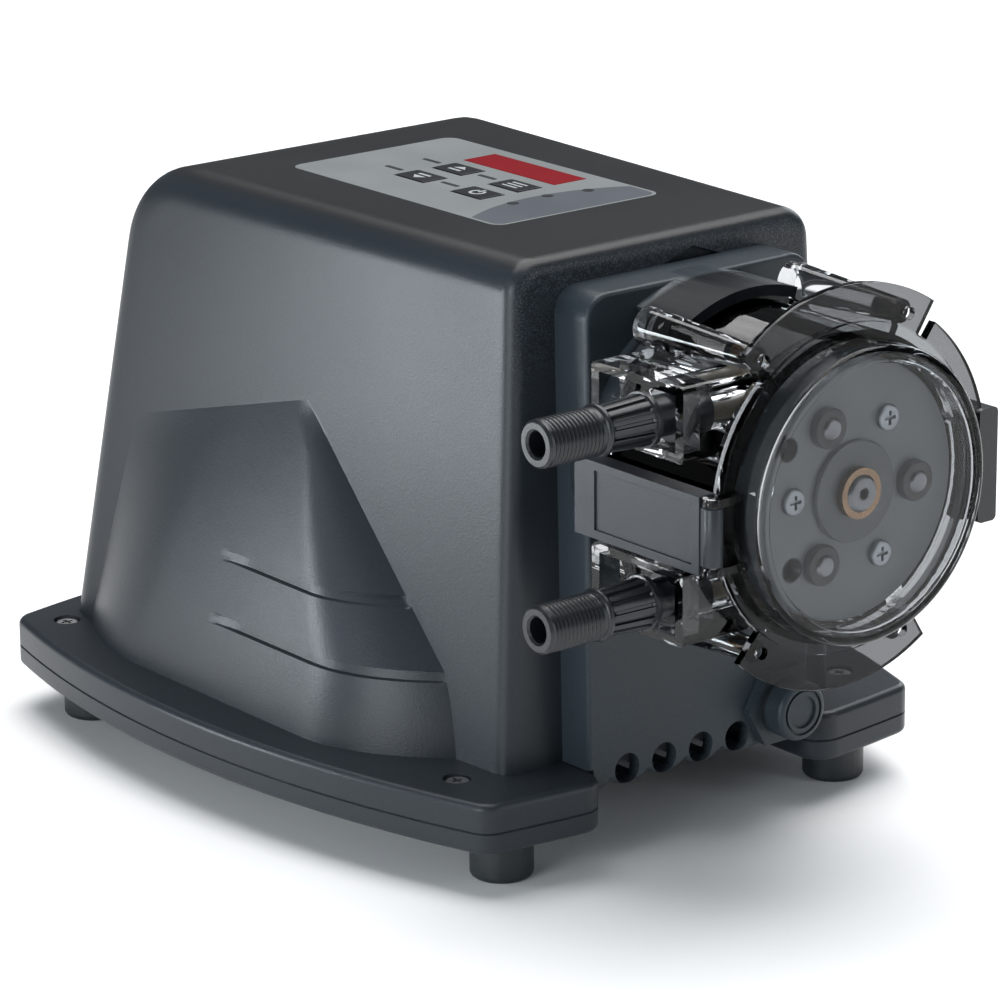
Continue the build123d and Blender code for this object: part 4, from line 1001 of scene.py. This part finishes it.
def roller_plate_plastic():
    """Satin grey disc with a darker hub; the raised seats round the roller pins and the two drilled
    holes are painted near-black as painted shade of their bores.
    """
    colour = (0.150, 0.165, 0.175)
    material, tree, shader = nodes_of("grey_roller_plate")
    cloud = noise(tree, 60.0)
    fine = noise(tree, 2600.0, 1.0)
    disc = drifting(tree, colour, cloud, 0.93, 1.06)
    disc = blend_colours(tree, mapped(tree, fine, 0.0, 1.0), scaled(colour, 0.96), disc)
    distance = axis_distance(tree, 0.0, AXIS_Z)
    hub = within(tree, distance, HUB_RADIUS - 0.5, HUB_RADIUS + 0.2)
    disc = blend_colours(tree, hub, disc, scaled(colour, 0.55))
    seats = [axis_distance(tree, *around(PIN_ORBIT, angle)) for angle in PIN_ANGLES]
    # Painted shade: each raised seat round a roller pin is painted near-black, the shade at its
    # bore's rim.
    seat = within(tree, nearest(tree, seats), SEAT_RADIUS - 0.2, SEAT_RADIUS + 0.2)
    disc = blend_colours(tree, seat, disc, (0.016, 0.017, 0.019))
    holes = [axis_distance(tree, *around(HOLE_ORBIT, angle)) for angle in HOLE_ANGLES]
    # Painted shade: the two drilled holes and their rims are painted near-black.
    hole_shade = within(tree, nearest(tree, holes), HOLE_RADIUS + 0.1, HOLE_RADIUS + 0.5)
    disc = blend_colours(tree, hole_shade, disc, (0.010, 0.010, 0.012))
    coat_with(tree, shader, disc, mapped(tree, cloud, 0.32, 0.4))
    bump(tree, shader, [(fine, 0.05, 0.0001)])
    return material


def printed(name, colour, rough=0.42, specular=0.2):
    """Printed film with a fine orange-peel surface."""
    material, tree, shader = nodes_of(name)
    cloud = noise(tree, 45.0)
    roughness = mapped(tree, cloud, rough - 0.04, rough + 0.04)
    coat_with(tree, shader, drifting(tree, colour, cloud, 0.96, 1.04), roughness)
    shader.inputs["Specular IOR Level"].default_value = specular
    bump(tree, shader, [(noise(tree, 900.0), 0.06, 0.0001)])
    return material


SLATE = housing_plastic()
PANEL = panel_plastic()
BRACKET = moulded("grey_bracket", (0.026, 0.030, 0.036), 0.36, depth=0.2, specular=0.3)
BLACK = moulded("black_moulding", (0.0105, 0.0115, 0.0135), 0.34, grain=1400.0, depth=0.22)
PORT = moulded("port_moulding", (0.008, 0.010, 0.013), 0.30, grain=1500.0, depth=0.12)
FOOT = moulded("foot_rubber", (0.010, 0.0145, 0.016), 0.45, grain=900.0, depth=0.4)
CLEAR_ZONES = ((41.0, (0.66, 0.67, 0.68)),)
COVER_ZONES = ((37.4, (0.24, 0.25, 0.26)), (44.3, (0.17, 0.172, 0.178)))
CLEAR = clear_plastic("smoked_polycarbonate", (0.80, 0.82, 0.84), CLEAR_ZONES, 0.9)
COVER = clear_plastic("smoked_cover", (0.88, 0.89, 0.90), COVER_ZONES, 0.3)
ROLLER_PLATE = roller_plate_plastic()
ACETAL = moulded("dark_acetal", (0.10, 0.115, 0.125), 0.3, grain=2000.0, depth=0.1)
GEAR = moulded("natural_acetal", (0.62, 0.6, 0.56), 0.35, grain=2000.0, depth=0.1)
TUBE = moulded("tube_elastomer", (0.34, 0.29, 0.22), 0.4, grain=1200.0, depth=0.1)
STEEL = metal("ground_steel", (0.58, 0.58, 0.59), 0.26, (1.0, 8.0, 8.0))
PIN_STEEL = metal("blackened_steel", (0.16, 0.165, 0.175), 0.2, (1.0, 8.0, 8.0))
PLATED = metal("plated_screws", (0.5, 0.5, 0.51), 0.34)
DULL_SCREW = metal("dull_screws", (0.30, 0.32, 0.34), 0.4)
BRASS = metal("turned_brass", (0.25, 0.165, 0.105), 0.28, (8.0, 1.0, 1.0))
ZINC = metal("cast_zinc", (0.45, 0.46, 0.47), 0.5, strength=0.3)
LABEL = printed("label_silver", (0.175, 0.187, 0.19))
LABEL_SHADE = printed("label_slate", (0.075, 0.083, 0.098))
LABEL_INK = printed("label_ink", (0.022, 0.024, 0.027))
RED = printed("red_window", (0.17, 0.004, 0.008), 0.5, 0.06)
KEY_FILM = printed("key_black", (0.013, 0.014, 0.016), 0.35)
ICON = printed("icon_light", (0.34, 0.36, 0.37))
BOARD = moulded("board_green", (0.02, 0.12, 0.05), 0.4, grain=800.0, depth=0.1)
COPPER = metal("winding_copper", (0.55, 0.24, 0.12), 0.35)
BLUE = moulded("capacitor_sleeve", (0.02, 0.035, 0.12), 0.3, grain=900.0, depth=0.05)
IRON = moulded("varnished_iron", (0.07, 0.065, 0.06), 0.45, grain=500.0, depth=0.4)
DARK_GASKET = moulded("gasket_foam", (0.02, 0.02, 0.02), 0.8, grain=700.0, depth=0.6)

FINISHES = {
    PANEL: ("front_panel", "connector_cap"),
    BRACKET: ("head_bracket",),
    BLACK: ("connector_body", "head_latch", "motor_fan", "key_switches", "control_chips",
            "display_module", "power_components", "motor_can", "motor_endcap",
            "led_indicators"),
    FOOT: ("rubber_feet",),
    CLEAR: ("tube_housing",),
    COVER: ("head_cover",),
    ROLLER_PLATE: ("roller_plate_front", "roller_plate_rear"),
    ACETAL: ("roller_1", "roller_2", "roller_3"),
    GEAR: ("idler_gear", "output_gear"),
    TUBE: ("pump_tube",),
    STEEL: ("motor_shaft", "motor_core", "idler_pin", "shaft_bearings"),
    PIN_STEEL: ("roller_pins", "hinge_pin", "output_shaft"),
    PLATED: ("foot_screws", "flange_screws", "board_screws", "gearbox_screws"),
    DULL_SCREW: ("head_screws", "plate_screws"),
    BRASS: ("motor_bushes", "drive_pinion", "boss_inserts", "shaft_collar"),
    ZINC: ("gearbox_case", "gearbox_cover"),
    LABEL: ("keypad_label",),
    RED: ("display_window",),
    KEY_FILM: KEY_NAMES,
    BOARD: ("control_board", "power_board"),
    COPPER: ("motor_stator",),
    BLUE: ("power_capacitors",),
    IRON: ("transformer",),
    DARK_GASKET: ("base_gasket", "shaft_seal"),
}


def paint(obj, material):
    obj.data.materials.clear()
    obj.data.materials.append(material)
    return obj


SOFT_EDGES = {"head_bracket": 0.35, "front_panel": 0.4, "head_cover": 0.3,
              "tube_housing": 0.3, "head_latch": 0.3}  # widths in millimetres


def soften(obj, width):
    """Rounds the crisp edges of a CAD node a little, as moulding or machining leaves them."""
    weld = obj.modifiers.new("weld", "WELD")
    weld.merge_threshold = 2e-6
    bevel = obj.modifiers.new("soft_edges", "BEVEL")
    bevel.width = width * MM
    bevel.segments = 2
    bevel.limit_method = "ANGLE"
    bevel.angle_limit = math.radians(40)
    bevel.miter_outer = "MITER_ARC"
    bevel.harden_normals = True


def dress_nodes():
    for material, names in FINISHES.items():
        for name in names:
            paint(NODES[name], material)
    for name, width in SOFT_EDGES.items():
        soften(NODES[name], width)


def place_pieces():
    body = paint(housing_body(), SLATE)
    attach(body, "housing")
    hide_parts("housing_shell")
    tray = paint(base_tray(), SLATE)
    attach(tray, "housing")
    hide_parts("base_plate")
    plate = paint(roller_plate(), ROLLER_PLATE)
    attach(plate, "rotor")
    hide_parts("roller_plate_front")
    place_prints()
    for node in PORT_NODES:
        port = paint(port_fitting(node), PORT)
        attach(port, "housing")
        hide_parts(node)


# ---- printed marks
PRINT_HEIGHT = 0.035
SHADE_ARC = ((13.0, -26.0), (6.5, 0.0), (13.0, 26.0))  # edge of the slate end of the label
LED_PLACES = ((10.4, 16.0), (8.2, 3.3), (8.8, -9.4))
LED_RADIUS = 1.7
LABEL_MARGIN = 1.0
CAPTION_XS = (10.5, 3.0)  # a caption's ends, measured back from its key
CAPTION_RISE = 0.8
CAPTION_HALF = 0.75
ARROW_SIZE = 2.6
RING_RADIUS = 2.5
RING_GAP = 0.55  # half of the ring's opening, in radians
BAR_HALVES = (3.2, 0.4)
BAR_RISES = (-1.9, 0.0, 1.9)


def printed_shapes(name, outlines, z):
    """Thin raised print: one flat solid per outline."""
    parts = [prism("print", outline, z - PRINT_HEIGHT, z + PRINT_HEIGHT) for outline in outlines]
    return gathered(name, parts)


def shade_outline():
    """Slate end of the label: bulging inner edge, rounded corners at the outer one."""
    centre, radius = arc_circle(*SHADE_ARC)
    low_y, high_y = LABEL_LOW[1] + LABEL_MARGIN, LABEL_HIGH[1] - LABEL_MARGIN
    edge = LABEL_HIGH[0] - LABEL_MARGIN
    inner = []
    for y in np.linspace(high_y, low_y, 21):
        inner.append((centre[0] - math.sqrt(radius ** 2 - (y - centre[1]) ** 2), y))
    return inner + rounded_end(edge, low_y, high_y, 3.2)


def rounded_end(x, low_y, high_y, radius, steps=6):
    """The two rounded corners at a plate's high x end."""
    outline = rectangle(x - 2 * radius, x, low_y, high_y, radius, steps)
    corner = steps + 1
    return outline[3 * corner:] + outline[:corner]


def arrow(x, y, size, up):
    """Arrow head over a short bar."""
    tip = size if up else -size
    head = [(x - size, y + 0.1 * tip), (x + size, y + 0.1 * tip), (x, y + tip)]
    return [head, rectangle(x - size, x + size, *sorted((y - 0.75 * tip, y - 0.35 * tip)))]


def power_ring(x, y, radius, gap):
    """Open ring with a stroke through its gap."""
    width = 0.45
    start, end = math.pi / 2 + gap, math.pi / 2 + 2 * math.pi - gap
    outer = [tuple(p) for p in sweep(np.array((x, y)), radius, start, end, 28)]
    inner = [tuple(p) for p in sweep(np.array((x, y)), radius - 2 * width, end, start, 28)]
    return [outer + inner, rectangle(x - width, x + width, y + 0.1 * radius, y + 1.2 * radius)]


def icon_shapes(name):
    """Outlines of a key's mark: arrow, power ring or three bars."""
    x, y = middle(name)[:2]
    if name in ("key_up", "key_down"):
        return arrow(x, y, ARROW_SIZE, name == "key_up")
    if name == "key_power":
        return power_ring(x, y, RING_RADIUS, RING_GAP)
    wide, thin = BAR_HALVES
    levels = [y + rise for rise in BAR_RISES]
    return [rectangle(x - wide, x + wide, level - thin, level + thin) for level in levels]


def place_prints():
    shade = paint(printed_shapes("label_shade", [shade_outline()], LABEL_HIGH[2]), LABEL_SHADE)
    marks = [circle(x, y, LED_RADIUS, 24) for x, y in LED_PLACES]
    for name in KEY_NAMES:
        key_x, y = corners(name)[0][0], middle(name)[1] + CAPTION_RISE
        ends = [key_x - back for back in CAPTION_XS]
        marks.append(rectangle(*ends, y - CAPTION_HALF, y + CAPTION_HALF, 0.4))
    ink = paint(printed_shapes("label_marks", marks, LABEL_HIGH[2] + PRINT_HEIGHT), LABEL_INK)
    for obj in (shade, ink):
        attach(obj, "housing")
    for name in KEY_NAMES:
        top = corners(name)[1][2]
        icon = paint(printed_shapes(name + "_icon", icon_shapes(name), top), ICON)
        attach(icon, name)


# ---- studio
FLOOR_HALF = 4000.0
COOL = (0.88, 0.95, 1.0)
WHITE = (1.0, 1.0, 1.0)
MID = (0.0, 0.0, 0.09)
# name, place, target and size in metres, watts, colour, spread in degrees
LIGHTS = (
    ("key_left", (-0.235, -0.37, 0.085), (0.055, -0.06, 0.095), (0.13, 0.11), 0.088, COOL, 52.0),
    ("edge_left", (-0.5, -1.3, 0.75), MID, (0.6, 0.6), 1.6, COOL, 180.0),
    ("head_side", (0.3, -1.1, 0.24), (0.09, -0.03, 0.11), (0.5, 0.6), 7.5, COOL, 180.0),
    ("fill_right", (1.5, 0.7, 0.55), (0.1, 0.0, 0.09), (0.6, 1.0), 4.5, COOL, 180.0),
    ("far_side", (-0.6, 1.5, 0.7), MID, (0.8, 0.8), 7.0, COOL, 180.0),
    ("top", (-0.3, 0.5, 2.4), MID, (2.8, 2.8), 112.0, WHITE, 180.0),
)


def area_light(name, place, target, size, power, colour, spread):
    data = bpy.data.lights.new(name, "AREA")
    data.shape = "RECTANGLE"
    data.size, data.size_y = size
    data.energy = power
    data.color = colour
    data.spread = math.radians(spread)
    light = link(name, data)
    light.location = place
    light.rotation_euler = (Vector(target) - Vector(place)).to_track_quat("-Z", "Y").to_euler()


def studio():
    outline = rectangle(-FLOOR_HALF, FLOOR_HALF, -FLOOR_HALF, FLOOR_HALF)
    floor = prism("floor", outline, -20.0, 0.0)
    paint(floor, floor_material())
    world = bpy.data.worlds.new("studio")
    bpy.context.scene.world = world
    world.use_nodes = True
    background = world.node_tree.nodes["Background"]
    background.inputs["Color"].default_value = (0.9, 0.96, 1.0, 1.0)
    background.inputs["Strength"].default_value = 0.12
    for light in LIGHTS:
        area_light(*light)
    bpy.context.scene.view_settings.view_transform = "Standard"


def floor_material():
    material, tree, shader = nodes_of("pale_floor")
    cloud = noise(tree, 3.0)
    shade = blend_colours(tree, cloud, (0.86, 0.86, 0.86), (0.9, 0.9, 0.9))
    tree.links.new(shade, shader.inputs["Base Color"])
    shader.inputs["Roughness"].default_value = 0.9
    shader.inputs["Specular IOR Level"].default_value = 0.1
    return material


CAMERA_PLACE = (0.97437, -0.78391, 0.46272)
CAMERA_YAW = 51.46
CAMERA_PITCH = 17.12
CAMERA_ROLL = -0.48
LENS = 167.63


def camera():
    data = bpy.data.cameras.new("camera")
    data.lens = LENS
    data.sensor_width = 36.0
    obj = link("camera", data)
    yaw, pitch, roll = (math.radians(v) for v in (CAMERA_YAW, CAMERA_PITCH, CAMERA_ROLL))
    level = math.cos(pitch)
    back = Vector((math.sin(yaw) * level, -math.cos(yaw) * level, math.sin(pitch)))
    right = Vector((0, 0, 1)).cross(back).normalized()
    up = back.cross(right)
    across = right * math.cos(roll) + up * math.sin(roll)
    rise = up * math.cos(roll) - right * math.sin(roll)
    turn = Matrix((across, rise, back)).transposed()
    obj.matrix_world = Matrix.Translation(CAMERA_PLACE) @ turn.to_4x4()
    bpy.context.scene.camera = obj


dress_nodes()
place_pieces()
studio()
camera()
